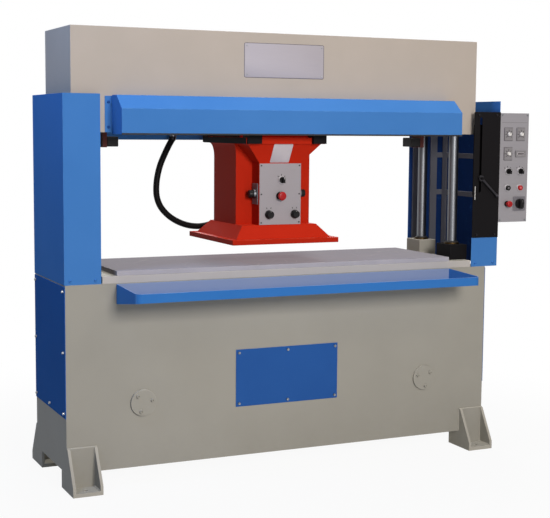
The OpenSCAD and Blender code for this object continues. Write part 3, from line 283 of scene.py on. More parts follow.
# Enamel on the control box: pale neutral grey, satin
BOX_GREY = sprayed_enamel("box_grey_enamel", "#9a969a", "#908c90", "#b4b0b4", 0.42)
# Ground hard chrome: a grey mirror with soft edges
CHROME = metal("hard_chrome_ground", "#696b6f", "#626468", 0.36, (60, 60, 60), 0.01)
# Machined steel: bright grey with fine turning lines
STEEL = metal("machined_steel", "#8f9194", "#7b7d80", 0.34, (30, 30, 1.2), 0.12)
# Zinc plate on screws: pale and slightly cloudy
ZINC = metal("zinc_plated_steel", "#9c9ea0", "#85878a", 0.32, (4, 4, 4), 0.08)
# Blackened steel: near black with a low shine
DARK_STEEL = metal("blackened_steel", "#3c3a3d", "#2e2d30", 0.4, (4, 4, 4), 0.08)
# Oiled bronze bushes: dark gold
BRONZE = metal("oiled_bronze_bush", "#4c3b22", "#3a2d1b", 0.35, (30, 30, 1.0), 0.1)
# The beam's plate: pale brushed aluminium
SILVER = brushed_plate("silver_brushed_aluminium", "#9c969c", "#a6a0a6", 0.06, 0.55)
# The head's control plate: anodised grey with a touch of lilac
PANEL = brushed_plate("lilac_grey_anodised_aluminium", "#8b868a", "#938e92", 0.1, 0.5)
# The box's control plate: anodised mid grey
BOX_PLATE = brushed_plate("mid_grey_anodised_aluminium", "#8c898d", "#949195", 0.1, 0.5)
# Plates behind the main switch and the side buttons: darker grey
SWITCH_PLATE = brushed_plate("dark_grey_anodised_aluminium", "#656268", "#6f6c71", 0.1, 0.5)
# Nickel bezels: light satin rings
BEZEL = brushed_plate("satin_nickel_bezel", "#b5b2b5", "#c0bdc0", 0.2, 0.4)
NYLON = cutting_nylon()
# Moulded rubber: flat black
RUBBER = moulded("black_moulded_rubber", "#171617", "#242324", 0.62, 2.2, 0.25)
# The hose's cover: the deepest black, without a shine
HOSE_RUBBER = moulded("black_hose_rubber", "#090809", "#111011", 0.5, 2.0, 0.08)
# Nylon knobs and drums: black with a small highlight
BLACK_PLASTIC = moulded("black_moulded_nylon", "#0f0e0f", "#181718", 0.38, 1.6, 0.15)
# ABS caps and pointers: warm white
WHITE_PLASTIC = moulded("white_moulded_abs", "#e4e2de", "#dad7d2", 0.35, 1.6, 0.4)
# ABS stop buttons: deep signal red
RED_PLASTIC = moulded("red_moulded_abs", "#961114", "#a2181a", 0.36, 1.6, 0.22)
# The stop button's inlay: faded red
PALE_RED = moulded("pale_red_abs", "#c8585c", "#d06a6c", 0.4, 1.6, 0.3)
# Timer and counter housings: mid grey ABS
GREY_PLASTIC = moulded("grey_moulded_abs", "#7c797b", "#868385", 0.45, 1.6, 0.35)
# Foil on the flare's plate and in the counter's window: pale grey
PALE_FOIL = moulded("pale_grey_foil", "#b3adb1", "#bcb6ba", 0.4, 1.6, 0.4)
# Printed lines, borders and dark skirts: soft dark grey
PRINT = moulded("dark_grey_print", "#5d595d", "#676367", 0.5, 1.6, 0.3)


# Pieces

def linked(name, data):
    """A new object in the scene."""
    obj = bpy.data.objects.new(name, data)
    bpy.context.scene.collection.objects.link(obj)
    return obj


def piece(name, mesh, body, finish):
    """Places a finished mesh as a piece that rides on a body."""
    obj = linked(name, mesh)
    mesh.materials.clear()
    mesh.materials.append(finish)
    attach(obj, body)
    return obj


# Angles in degrees: sharper edges show as edges, flatter faces become one, sharper edges are eased
SMOOTH_ANGLE, FLAT_ANGLE, EASE_ANGLE = 40, 1, 35
EASE_STEPS, CORNER_STEPS = 2, 5


def mesh_from(bm, name):
    """Turns a bmesh into a mesh with outward faces and soft shading between sharp edges."""
    bmesh.ops.remove_doubles(bm, verts=bm.verts, dist=1e-6)
    bmesh.ops.recalc_face_normals(bm, faces=bm.faces)
    mesh = bpy.data.meshes.new(name)
    bm.to_mesh(mesh)
    bm.free()
    mesh.polygons.foreach_set("use_smooth", [True] * len(mesh.polygons))
    mesh.set_sharp_from_angle(angle=math.radians(SMOOTH_ANGLE))
    return mesh


def applied(obj, name):
    """The plain mesh of an object with its modifiers, after which the object is removed."""
    bpy.context.view_layer.update()
    deps = bpy.context.evaluated_depsgraph_get()
    mesh = bpy.data.meshes.new_from_object(obj.evaluated_get(deps))
    mesh.name = name
    bpy.data.objects.remove(obj)
    return mesh


def softened(node, finish, width):
    """A copy of a CAD node whose sharp edges are eased, with those faces marked for wear and painted
    highlight.
    """
    bm = bmesh.new()
    bm.from_mesh(nodes[node].data)
    bmesh.ops.remove_doubles(bm, verts=bm.verts, dist=2e-6)
    bmesh.ops.dissolve_limit(bm, angle_limit=math.radians(FLAT_ANGLE), verts=bm.verts, edges=bm.edges)
    raw = bpy.data.meshes.new(node + "_raw")
    bm.to_mesh(raw)
    bm.free()
    raw.polygons.foreach_set("use_smooth", [True] * len(raw.polygons))
    raw.materials.append(finish)
    raw.materials.append(finish)
    raw.polygons.foreach_set("material_index", [0] * len(raw.polygons))
    work = linked(node + "_work", raw)
    ease = work.modifiers.new("ease", "BEVEL")
    ease.width = width * MM
    ease.segments = EASE_STEPS
    ease.limit_method = "ANGLE"
    ease.angle_limit = math.radians(EASE_ANGLE)
    ease.material = 1
    ease.use_clamp_overlap = True
    even = work.modifiers.new("even_shading", "WEIGHTED_NORMAL")
    even.weight = 100
    even.keep_sharp = True
    mesh = applied(work, node + "_eased")
    marks = [float(face.material_index == 1) for face in mesh.polygons]
    mesh.attributes.new("rubbed", "FLOAT", "FACE").data.foreach_set("value", marks)
    mesh.polygons.foreach_set("material_index", [0] * len(mesh.polygons))
    obj = piece(node + "_eased", mesh, nodes[node]["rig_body"], finish)
    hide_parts(node)
    return obj


def recolour(obj, finish, chosen):
    """Gives another finish to the faces that chosen(centre, normal) picks, with centres in millimetres."""
    mesh = obj.data
    mesh.materials.append(finish)
    for face in mesh.polygons:
        if chosen(face.center / MM, face.normal):
            face.material_index = len(mesh.materials) - 1


def skin(bm, one, two):
    """Faces between two rings of vertices, either of which may be a single point."""
    count = max(len(one), len(two))
    for k in range(count):
        ring = [one[k % len(one)], one[(k + 1) % len(one)], two[(k + 1) % len(two)], two[k % len(two)]]
        bm.faces.new(list(dict.fromkeys(ring)))


def turned(bm, profile, place, out, sides=40, flutes=0, flute_depth=0.0):
    """A closed turned form on a place in millimetres. Rows of the profile are radius and height along
    out, with a third entry where flutes are cut. It ends in points, or closes on itself as a ring."""
    out = Vector(out)
    up = Vector((0, 1, 0) if out.z else (0, 0, 1))
    side = out.cross(up)
    rows = []
    for radius, height, *fluted in profile:
        centre = mm(*place) + out * height * MM
        if not radius:
            rows.append([bm.verts.new(centre)])
            continue
        ring = []
        for k in range(sides):
            angle = 2 * math.pi * k / sides
            cut = flute_depth * (0.5 - 0.5 * math.cos(flutes * angle)) if fluted else 0.0
            ring.append(bm.verts.new(centre + (radius - cut) * MM
                                     * (math.cos(angle) * up + math.sin(angle) * side)))
        rows.append(ring)
    if len(rows[0]) > 1:
        rows.append(rows[0])
    for one, two in zip(rows, rows[1:]):
        skin(bm, one, two)


def rounded(width, height, radius):
    """The outline of a rectangle with round corners about its middle, in millimetres."""
    points = []
    for quarter, (sx, sy) in enumerate(((1, 1), (-1, 1), (-1, -1), (1, -1))):
        for k in range(CORNER_STEPS + 1):
            angle = math.pi / 2 * (quarter + k / CORNER_STEPS)
            points.append((sx * (width / 2 - radius) + radius * math.cos(angle),
                           sy * (height / 2 - radius) + radius * math.sin(angle)))
    return points


def stamped(bm, outline, place, across, along, thick, hole=0.0):
    """A flat plate with a broken edge that stands out along across x along, with a round hole if given."""
    across, along = Vector(across), Vector(along)
    out = across.cross(along)

    def ring(points, height):
        return [bm.verts.new(mm(*place) + (x * across + y * along + height * out) * MM)
                for x, y in points]

    ease = min(0.4, thick * 0.3)
    shrink = [(x - math.copysign(ease, x), y - math.copysign(ease, y)) for x, y in outline]
    rows = [ring(outline, 0), ring(outline, thick - ease), ring(shrink, thick)]
    if hole:
        rim = [(hole * x / math.hypot(x, y), hole * y / math.hypot(x, y)) for x, y in outline]
        rows += [ring(rim, thick), ring(rim, 0), rows[0]]
    else:
        bm.faces.new(rows[0])
        bm.faces.new(rows[-1])
    for one, two in zip(rows, rows[1:]):
        skin(bm, one, two)


def block(bm, low, high):
    """A plain box between two corners in millimetres."""
    size = Vector(high) - Vector(low)
    centre = (Vector(high) + Vector(low)) / 2
    bmesh.ops.create_cube(
        bm, size=MM, matrix=Matrix.Translation(centre * MM) @ Matrix.Diagonal((*size, 1)))


# Geometry Nodes for what repeats

def node_group(name, sockets):
    """An empty geometry group with a geometry input and the named inputs, and its input identifiers."""
    tree = bpy.data.node_groups.new(name, "GeometryNodeTree")
    tree.interface.new_socket("Geometry", in_out="OUTPUT", socket_type="NodeSocketGeometry")
    tree.interface.new_socket("Geometry", in_out="INPUT", socket_type="NodeSocketGeometry")
    names = {}
    for label, kind in sockets.items():
        socket = tree.interface.new_socket(label, in_out="INPUT", socket_type="NodeSocket" + kind)
        names[label] = socket.identifier
    return tree, names


def finish_group(tree, geometry, finish):
    """Ends a geometry group: real copies with their finish."""
    real = add(tree, "GeometryNodeRealizeInstances", None, {"Geometry": geometry})
    painted = add(tree, "GeometryNodeSetMaterial", None, {"Geometry": real, "Material": finish})
    add(tree, "NodeGroupOutput", None, {0: painted})


def finish_copies(tree, given, instance):
    """Ends a geometry group with copies on its points, each turned by the point's "turn" angles."""
    turn = add(tree, "GeometryNodeInputNamedAttribute", {"data_type": "FLOAT_VECTOR"}, {"Name": "turn"})
    angles = add(tree, "FunctionNodeEulerToRotation", None, {"Euler": turn.outputs["Attribute"]})
    copies = add(tree, "GeometryNodeInstanceOnPoints", None,
                 {"Points": given["Geometry"], "Instance": instance,
                  "Rotation": angles})
    finish_group(tree, copies, given["Finish"])


def screw_group():
    """Socket head screws on points."""
    tree, names = node_group("socket_screws", {"Head radius": "Float", "Head height": "Float",
                                               "Finish": "Material"})
    given = add(tree, "NodeGroupInput").outputs
    rim = add(tree, MATH, TIMES, {0: given["Head radius"], 1: 0.86})
    head = add(tree, "GeometryNodeMeshCone", None,
               {"Vertices": 24, "Radius Top": rim, "Radius Bottom": given["Head radius"],
                "Depth": given["Head height"]})
    key = add(tree, MATH, TIMES, {0: given["Head radius"], 1: 0.5})
    lift = add(tree, MATH, TIMES, {0: given["Head height"], 1: 0.9})
    raised = add(tree, "ShaderNodeCombineXYZ", None, {"Z": lift})
    socket = add(tree, "GeometryNodeMeshCylinder", None,
                 {"Vertices": 6, "Radius": key, "Depth": given["Head height"]})
    placed = add(tree, "GeometryNodeTransform", None, {"Geometry": socket, "Translation": raised})
    cut = add(tree, "GeometryNodeMeshBoolean", {"operation": "DIFFERENCE"},
              {"Mesh 1": head, "Mesh 2": placed})
    finish_copies(tree, given, cut)
    return tree, names


def tick_group():
    """Short printed strokes on points."""
    tree, names = node_group("dial_ticks", {"Stroke": "Vector", "Finish": "Material"})
    given = add(tree, "NodeGroupInput").outputs
    stroke = add(tree, "GeometryNodeMeshCube", None, {"Size": given["Stroke"]})
    finish_copies(tree, given, stroke)
    return tree, names


def weld_group():
    """Rippled fillet welds along the edges of a mesh."""
    tree, names = node_group("weld_beads", {"Bead radius": "Float", "Ripple pitch": "Float",
                                            "Finish": "Material"})
    given = add(tree, "NodeGroupInput").outputs
    seam = add(tree, "GeometryNodeMeshToCurve", None, {"Mesh": given["Geometry"]})
    step = add(tree, MATH, TIMES, {0: given["Ripple pitch"], 1: 0.5})
    fine = add(tree, "GeometryNodeResampleCurve", {"mode": "LENGTH"}, {"Curve": seam, "Length": step})
    number = add(tree, "GeometryNodeInputIndex")
    odd = add(tree, MATH, {"operation": "MODULO"}, {0: number, 1: 2.0})
    swell = add(tree, RANGE, None, {"Value": odd, "To Min": 0.86, "To Max": 1.0})
    radius = add(tree, MATH, TIMES, {0: swell, 1: given["Bead radius"]})
    ring = add(tree, "GeometryNodeCurvePrimitiveCircle", None, {"Resolution": 8, "Radius": 1.0})
    bead = add(tree, "GeometryNodeCurveToMesh", None,
               {"Curve": fine, "Profile Curve": ring,
                "Scale": radius, "Fill Caps": True})
    finish_group(tree, bead, given["Finish"])
    return tree, names


def grown(name, mesh, group, values, finish, body):
    """Runs a geometry group on a mesh and keeps what it makes as one plain piece."""
    tree, names = group
    work = linked(name + "_work", mesh)
    grow = work.modifiers.new("grow", "NODES")
    grow.node_group = tree
    for label, value in values.items():
        grow[names[label]] = value
    grow[names["Finish"]] = finish
    return piece(name, applied(work, name), body, finish)


def points_mesh(name, points):
    """A mesh of loose points, each with its place in millimetres and its turn as Euler angles."""
    mesh = bpy.data.meshes.new(name)
    mesh.from_pydata([mm(*place) for place, turn in points], [], [])
    mesh.attributes.new("turn", "FLOAT_VECTOR", "POINT").data.foreach_set(
        "vector", [value for place, turn in points for value in turn])
    return mesh


# Camera, light and floor

# The photograph's view, as fitted to its straight edges: degrees, metres and millimetres
CAMERA_YAW, CAMERA_PITCH, CAMERA_ROLL = 24.8987, 6.0408, 0.4611
CAMERA_PLACE = (-2.303, -5.034, 1.4745)
CAMERA_SENSOR, CAMERA_LENS = 36, 81.33


def set_camera():
    """The photograph's view: position, direction, roll and lens."""
    yaw, pitch, roll = (math.radians(a) for a in (CAMERA_YAW, CAMERA_PITCH, CAMERA_ROLL))
    ahead = Vector((math.sin(yaw) * math.cos(pitch), math.cos(yaw) * math.cos(pitch), -math.sin(pitch)))
    level = Vector((math.cos(yaw), -math.sin(yaw), 0))
    up = level.cross(ahead)
    right = math.cos(roll) * level + math.sin(roll) * up
    above = -math.sin(roll) * level + math.cos(roll) * up
    view = Matrix((right, above, -ahead)).transposed().to_4x4()
    view.translation = CAMERA_PLACE
    data = bpy.data.cameras.new("photo_camera")
    data.sensor_fit = "HORIZONTAL"
    data.sensor_width = CAMERA_SENSOR
    data.lens = CAMERA_LENS
    camera = linked("photo_camera", data)
    camera.matrix_world = view
    bpy.context.scene.camera = camera


def soft_box(name, place, target, size, watts, colour, shadow=True):
    """A square studio lamp that faces its target, as a fill without shadow if so told."""
    data = bpy.data.lights.new(name, "AREA")
    data.shape = "SQUARE"
    data.size = size
    data.energy = watts
    data.color = linear(colour)[:3]
    data.use_shadow = shadow
    aim = (Vector(target) - Vector(place)).to_track_quat("-Z", "Y").to_matrix().to_4x4()
    lamp = linked(name, data)
    lamp.matrix_world = Matrix.Translation(place) @ aim


def seen_directly(tree):
    """1 for rays that show the background: from the camera, in gloss and through glass."""
    path = add(tree, "ShaderNodeLightPath")
    gloss = add(tree, MATH, {"operation": "MAXIMUM"},
                {0: path.outputs["Is Camera Ray"], 1: path.outputs["Is Glossy Ray"]})
    return add(tree, MATH, {"operation": "MAXIMUM"},
               {0: gloss, 1: path.outputs["Is Transmission Ray"]}).outputs[0]


def set_studio():
    """White surroundings with a dim fill, lamps before, behind, above and at the left, and a pale floor."""
    world = bpy.data.worlds.new("white_studio")
    bpy.context.scene.world = world
    world.use_nodes = True
    tree = world.node_tree
    tree.nodes.clear()
    fill = add(tree, "ShaderNodeBackground", None, {"Color": linear("#e4ecfa"), "Strength": 0.07})
    white = add(tree, "ShaderNodeBackground", None, {"Color": (1, 1, 1, 1), "Strength": 1.0})
    both = add(tree, "ShaderNodeMixShader", None, {0: seen_directly(tree), 1: fill, 2: white})
    add(tree, "ShaderNodeOutputWorld", None, {"Surface": both})
    soft_box("front_lamp", (-0.4, -5.2, 2.4), (0.0, 0.0, 1.2), 1.2, 186, "#fffaf6")
    soft_box("low_lamp", (-0.3, -5.0, 0.7), (0.0, 0.0, 0.5), 1.4, 22, "#fffcfa")
    soft_box("key_lamp", (1.4, -3.6, 3.9), (0.0, 0.0, 1.2), 0.8, 14, "#fff8f0")
    soft_box("left_lamp", (-2.2, -0.5, 2.9), (-1.0, 0.0, 1.6), 0.9, 27, "#a4c6ff")
    soft_box("back_lamp", (1.5, 4.8, 3.2), (0.0, 0.0, 1.0), 2.4, 130, "#ffffff")
    soft_box("top_fill", (0.6, 0.3, 6.0), (0.6, 0.3, 0.0), 2.0, 168, "#fffdfa", shadow=False)
    floor_mesh = bpy.data.meshes.new("studio_floor")
    bm = bmesh.new()
    bmesh.ops.create_grid(bm, x_segments=1, y_segments=1, size=30)
    bm.to_mesh(floor_mesh)
    bm.free()
    material = bpy.data.materials.new("pale_floor")
    material.use_nodes = True
    tree = material.node_tree
    tree.nodes.clear()
    paint = add(tree, "ShaderNodeBsdfDiffuse", None, {"Color": linear("#bdbdbc")})
    glow = add(tree, "ShaderNodeEmission", None, {"Color": (1, 1, 1, 1), "Strength": 1.0})
    place = add(tree, "ShaderNodeTexCoord").outputs["Object"]
    reach = add(tree, "ShaderNodeVectorMath", {"operation": "LENGTH"}, {0: place}).outputs["Value"]
    share = add(tree, RANGE, {"interpolation_type": "SMOOTHSTEP"},
                {"Value": reach, "From Min": 0.9, "From Max": 2.6, "To Min": 0.92, "To Max": 1.0})
    shown = add(tree, MATH, TIMES, {0: seen_directly(tree), 1: share})
    both = add(tree, "ShaderNodeMixShader", None, {0: shown, 1: paint, 2: glow})
    add(tree, "ShaderNodeOutputMaterial", None, {"Surface": both})
    floor_mesh.materials.append(material)
    floor = linked("studio_floor", floor_mesh)


set_camera()
set_studio()
bpy.context.scene.view_settings.view_transform = "Standard"


# Hose

# The route in millimetres: down from the gland in the rear beam guard and in behind the head
HOSE_ROUTE = [
    (-345, 293, 1432), (-350, 293, 1416), (-364, 293, 1392), (-383, 293, 1355), (-404, 293, 1308),
    (-418, 293, 1260), (-425, 293, 1210), (-423, 293, 1160), (-406, 293, 1115), (-372, 293, 1076),
    (-327, 293, 1046), (-277, 293, 1027), (-227, 292, 1020), (-180, 289, 1025), (-137, 285, 1039),
    (-97, 281, 1056), (-58, 279, 1069), (-37, 278, 1074), (-20, 278, 1075)
]
HOSE_D, HOSE_STEPS, HOSE_SIDES = 28, 7, 20


def smooth_path(points, steps):
    """Points on a smooth curve through the given ones, steps to each stretch."""
    ends = [2 * points[0] - points[1]] + points + [2 * points[-1] - points[-2]]
    path = []
    for i in range(1, len(ends) - 2):
        a, b, c, d = ends[i - 1:i + 3]
        for k in range(steps):
            t = k / steps
            path.append(0.5 * (2 * b + (c - a) * t + (2 * a - 5 * b + 4 * c - d) * t ** 2
                               + (3 * b - a - 3 * c + d) * t ** 3))
    return path + [points[-1]]


def tube(bm, path, radii, sides):
    """A closed tube round a path, with a radius at each point."""
    rings = []
    side = Vector((0, 1, 0))
    for i, point in enumerate(path):
        ahead = (path[min(i + 1, len(path) - 1)] - path[max(i - 1, 0)]).normalized()
        across = ahead.cross(side).normalized()
        side = across.cross(ahead).normalized()
        ring = [bm.verts.new(point + radii[i] * (math.cos(a) * across + math.sin(a) * side))
                for a in (2 * math.pi * k / sides for k in range(sides))]
        rings.append(ring)
    for one, two in zip(rings, rings[1:]):
        skin(bm, one, two)
    bm.faces.new(reversed(rings[0]))
    bm.faces.new(rings[-1])


def make_hose(path):
    """The rubber pressure hose to the head."""
    bm = bmesh.new()
    tube(bm, path, [HOSE_D / 2 * MM] * len(path), HOSE_SIDES)
    hose = linked("pressure_hose", mesh_from(bm, "pressure_hose"))
    hose.data.materials.append(HOSE_RUBBER)
    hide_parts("hose")
    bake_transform(hose)


hose_path = smooth_path([mm(*point) for point in HOSE_ROUTE], HOSE_STEPS)
make_hose(hose_path)

# Eased copies of the CAD nodes

# Nodes with the width of their eased edges in millimetres, and their finish and slot
EASED = {
    (("base_frame", 2.0), ("bed_plate", 1.5), ("pivot_pins", 1.5), ("feet", 1.5)):
        (SHADED_BASE_BEIGE, "beige_paint"),
    (("beam", 4.0),): (BEIGE, "beige_paint"),
    (("front_tray", 0.9), ("left_guard", 0.8), ("right_guard", 0.8), ("beam_guard_front", 1.0),
     ("beam_guard_rear", 1.0)): (BLUE, "blue_paint"),
    (("access_cover", 0.8),): (DEEP_BLUE, "blue_paint"),
    (("side_covers", 0.8),): (SHADED_SIDE_BLUE, "blue_paint"),
    (("head_body", 3.0), ("platen", 2.0)): (RED, "red_paint"),
    (("oil_tank", 4.0), ("pump_motor", 1.0), ("cylinders", 2.0)): (GREY, "grey_paint"),
    (("guard_straps", 0.8),): (STRAP_GREY, "grey_paint"),
    (("setting_panel", 0.8), ("trolley_hangers", 1.5), ("setting_clamp", 0.8)): (BLACK, "black_paint"),
    (("stop_brackets", 1.0),): (BROWN, "brown_paint"),
    (("stop_buffers", 4.0),): (RUBBER, "rubber"),
    (("control_box", 1.5),): (BOX_GREY, "box_paint"),
    (("control_plate", 0.6),): (BOX_PLATE, "panel_aluminium"),
    (("head_panel", 0.6),): (PANEL, "panel_aluminium"),
    (("cutting_board", 1.6),): (NYLON, "board_nylon"),
    (("rails", 0.8), ("lift_yokes", 2.0), ("valve_block", 1.0), ("hose_gland_beam", 1.0),
     ("hose_gland_head", 1.0), ("tie_rod", 1.0), ("crank_left", 1.0), ("crank_right", 1.0),
     ("wheel_front_left", 1.0), ("wheel_front_right", 1.0), ("wheel_rear_left", 1.0),
     ("wheel_rear_right", 1.0)): (STEEL, "steel"),
    (("columns", 1.0), ("piston_rods", 1.0)): (CHROME, "chrome"),
    (("column_bushes", 0.8),): (BRONZE, "brass"),
    (("counter", 0.8),): (GREY_PLASTIC, "black_plastic"),
}
eased = {}
for group, (finish, slot) in EASED.items():
    for node, width in group:
        eased[node] = softened(node, finish, width)


def corners(node):
    """The lowest and highest corner of a CAD node at rest, in millimetres."""
    return [Vector(corner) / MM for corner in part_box(node)]


def middle(node):
    """The middle of a CAD node at rest, in millimetres."""
    low, high = corners(node)
    return (low + high) / 2


# Faces of a node that get another colour, by how far they lie from an edge of it
LIP_ZONE, BACK_ZONE, RIM_ZONE, NOSE_ZONE, FLANGE_ZONE, BED_ZONE = 12, 5, 8, 15, 2, 0.5
# The side plates start this far from the head panel's middle, and a guard's inner walls face its middle
SIDE_PLATE_X, FACING_IN = 99, -10
bed_top = corners("cutting_board")[0].z
recolour(eased["bed_plate"], BLACK, lambda c, n: c.z > bed_top + BED_ZONE and c.y < 0)
recolour(eased["bed_plate"], BED_BEIGE, lambda c, n: c.z < bed_top and n.y < -0.5)
tray_low, tray_high = corners("front_tray")
recolour(eased["front_tray"], TRAY_BLUE, lambda c, n: n.y < -0.3 and c.y < tray_low.y + LIP_ZONE)
# The tray's back wall and floor: painted bounce light and painted shade
recolour(eased["front_tray"], BOUNCE_LIT_TRAY_BLUE,
         lambda c, n: (n.y < -0.9 and c.y > tray_high.y - BACK_ZONE
                       or n.z > 0.9 and c.z < tray_high.z - RIM_ZONE))
base_low, base_high = corners("base_frame")
recolour(eased["feet"], FOOT_BEIGE,
         lambda c, n: abs(n.y) > 0.5 and abs(n.x) < 0.3 and abs(c.y) > base_high.y + NOSE_ZONE)
panel_middle = middle("head_panel").x
recolour(eased["head_panel"], SWITCH_PLATE, lambda c, n: abs(c.x - panel_middle) > SIDE_PLATE_X)
flange_foot = corners("trolley_hangers")[0].z - FLANGE_ZONE
recolour(eased["head_body"], BLACK, lambda c, n: abs(n.x) > 0.9 and c.z > flange_foot)
# The guards' inner walls: blue with painted shade below the beam
for node in ("left_guard", "right_guard"):
    recolour(eased[node], SHADED_INNER_BLUE,
             lambda c, n, m=middle(node):
             abs(n.z) < 0.5 and n.x * (c.x - m.x) + n.y * (c.y - m.y) < FACING_IN)

# Controls

# Directions that a flat fitting spreads along, by the side that it faces
FRONT = ((1, 0, 0), (0, 0, 1))
REAR = ((-1, 0, 0), (0, 0, 1))
LEFT = ((0, -1, 0), (0, 0, 1))
RIGHT = ((0, 1, 0), (0, 0, 1))
TOP = ((1, 0, 0), (0, 1, 0))
OUT = {FRONT: (0, -1, 0), REAR: (0, 1, 0), LEFT: (-1, 0, 0), RIGHT: (1, 0, 0), TOP: (0, 0, 1)}
# Clearance behind a knob and round a column, and the sheet of both control plates
GAP = 0.4
PANEL_T = 3


def fitting(name, body, finish, shapes, replaced=None):
    """One piece from several closed shapes, each given as a function that draws into a bmesh."""
    bm = bmesh.new()
    for shape in shapes:
        shape(bm)
    obj = piece(name, mesh_from(bm, name), body, finish)
    if replaced:
        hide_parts(replaced)
    return obj


def lathe(profile, place, side, **flutes):
    """A turned shape for fitting(). Rows of the profile are radius and height in millimetres."""
    return lambda bm: turned(bm, profile, place, OUT[side], **flutes)


def plate(outline, place, side, thick, hole=0.0):
    """A flat shape for fitting()."""
    return lambda bm: stamped(bm, outline, place, *side, thick, hole)


def bar(low, high):
    """A plain box for fitting()."""
    return lambda bm: block(bm, low, high)


def collar(inner, outer, height):
    """The profile of a ring with an eased outer rim."""
    return [(inner, 0), (outer, 0), (outer, height * 0.7), (outer - 0.8, height), (inner, height)]


def seat(node, surface):
    """The place on a plate, whose face is at y = surface, that a front control stands on."""
    centre = middle(node)
    return (centre.x, surface, centre.z)


box_face = corners("control_plate")[1].y - PANEL_T
pad_face = corners("control_plate")[0].y
head_face = corners("head_panel")[0].y
trim = {}
ticks = {}


def keep(body, finish, slot, *shapes):
    """Collects shapes that stay on a body, by finish, to become one piece of trim."""
    trim.setdefault((body, finish, slot), []).extend(shapes)


def dial(body, place, radius, angles):
    """Notes printed strokes round a control, a hair in front of its plate."""
    x, y, z = place
    for degrees in angles:
        angle = math.radians(degrees)
        ticks.setdefault(body, []).append(
            ((x + radius * math.sin(angle), y - 0.05, z + radius * math.cos(angle)), (0, angle, 0)))


# Timers: a fluted cap in a skirt with a pointer, on a bordered base plate
TIMER_BORDER, TIMER_BORDER_T = rounded(49, 62, 3), 1.6
TIMER_FACE, TIMER_FACE_T = rounded(44, 57, 2), 5
TIMER_HOLE_R, TIMER_DIAL_R = 12.6, 17
for node in ("timer_knob_1", "timer_knob_2", "timer_knob_3"):
    x, y, z = place = seat(node, box_face)
    fitting(node + "_cap", node, WHITE_PLASTIC,
            [lathe([(0, GAP), (8.6, GAP), (8.6, 4.6, "cut"), (8.2, 14.6, "cut"), (7.2, 16.2), (0, 16.4)],
                   place, FRONT, sides=72, flutes=18, flute_depth=0.5)], node)
    fitting(node + "_skirt", node, PRINT,
            [lathe([(8.9, GAP), (12.0, GAP), (12.0, 5.6), (11.2, 6.6), (8.9, 6.6)], place, FRONT),
             bar((x - 0.7, y - 16.7, z + 1.5), (x + 0.7, y - 16.1, z + 7.2))])
    keep("base", PRINT, "black_plastic", plate(TIMER_BORDER, place, FRONT, TIMER_BORDER_T, TIMER_HOLE_R))
    keep("base", GREY_PLASTIC, "grey_paint", plate(TIMER_FACE, place, FRONT, TIMER_FACE_T, TIMER_HOLE_R))
    dial("base", (x, y - TIMER_FACE_T, z), TIMER_DIAL_R, range(-135, 136, 45))

# Selectors and the main switch: a round foot, a grip across it and a pointer
SWITCH_PAD, SWITCH_PAD_T, SWITCH_HOLE_R = rounded(67, 67, 3), 1.2, 23.6
BEZEL_W, BEZEL_H, SELECTOR_DIAL = 3, 9, 8
for node, radius, height, surface, body in (
        ("selector_left", 13, 32, box_face, "base"), ("selector_right", 13, 32, box_face, "base"),
        ("head_selector", 14, 32, head_face, "head"), ("main_switch", 23, 26, pad_face, "base")):
    x, y, z = place = seat(node, surface)
    deck = height * 0.45
    nose = y - height
    if node == "main_switch":
        grip, mark = rounded(radius * 0.84, radius * 2, radius * 0.4), PRINT
        keep(body, SWITCH_PLATE, "panel_aluminium",
             plate(SWITCH_PAD, place, FRONT, SWITCH_PAD_T, SWITCH_HOLE_R))
    else:
        grip, mark = rounded(radius * 0.6, radius * 1.8, radius * 0.28), WHITE_PLASTIC
        keep(body, BEZEL, "chrome", lathe(collar(radius + GAP, radius + BEZEL_W, BEZEL_H), place, FRONT))
        dial(body, place, radius + SELECTOR_DIAL, (-45, 0, 45))
    fitting(node + "_grip", node, BLACK_PLASTIC,
            [lathe([(0, GAP), (radius - 0.4, GAP), (radius - 0.4, deck - 1.2), (radius - 1.6, deck),
                    (0, deck)], place, FRONT),
             plate(grip, (x, y - deck + 0.5, z), FRONT, height + GAP - deck + 0.5)], node)
    fitting(node + "_pointer", node, mark,
            [bar((x - 0.8, nose - 0.75, z + radius * 0.3), (x + 0.8, nose - 0.2, z + radius * 0.8))])

# Start and stop buttons: a dished cap with an inlay, in a bezel
for node, finish, inlay, slot in (("start_button", BLACK_PLASTIC, PRINT, "black_plastic"),
                                  ("stop_button", RED_PLASTIC, PALE_RED, "red_plastic")):
    place = seat(node, box_face)
    fitting(node + "_cap", node, finish,
            [lathe([(0, 4.4), (11.8, 4.4), (11.8, 13.6), (10.9, 15), (9.6, 15), (7, 14.1), (0, 13.8)],
                   place, FRONT)], node)
    fitting(node + "_inlay", node, inlay,
            [lathe([(0, 13.6), (5.4, 13.6), (5.4, 14.3), (4.8, 14.7), (0, 14.9)], place, FRONT)])
    keep("base", BEZEL, "chrome", lathe(collar(12.3, 15, 7), place, FRONT))

# Mushroom heads on a neck, each in a black collar
for node, radius, height, surface, body in (("emergency_stop", 15, 32, box_face, "base"),
                                            ("head_stop_button", 19, 34, head_face, "head")):
    place = seat(node, surface)
    under = height - 12
    neck = radius * 0.61
    fitting(node + "_cap", node, RED_PLASTIC,
            [lathe([(0, 5.4), (neck, 5.4), (neck, under), (radius - 1.6, under),
                    (radius - 0.2, under + 1.6), (radius - 0.1, under + 5.4), (radius - 1.4, height - 3),
                    (radius * 0.76, height - 1), (radius * 0.47, height - 0.4), (0, height)],
                   place, FRONT, sides=56)], node)
    keep(body, BLACK_PLASTIC, "black_plastic", lathe(collar(neck + 0.7, radius - 2, 7), place, FRONT))

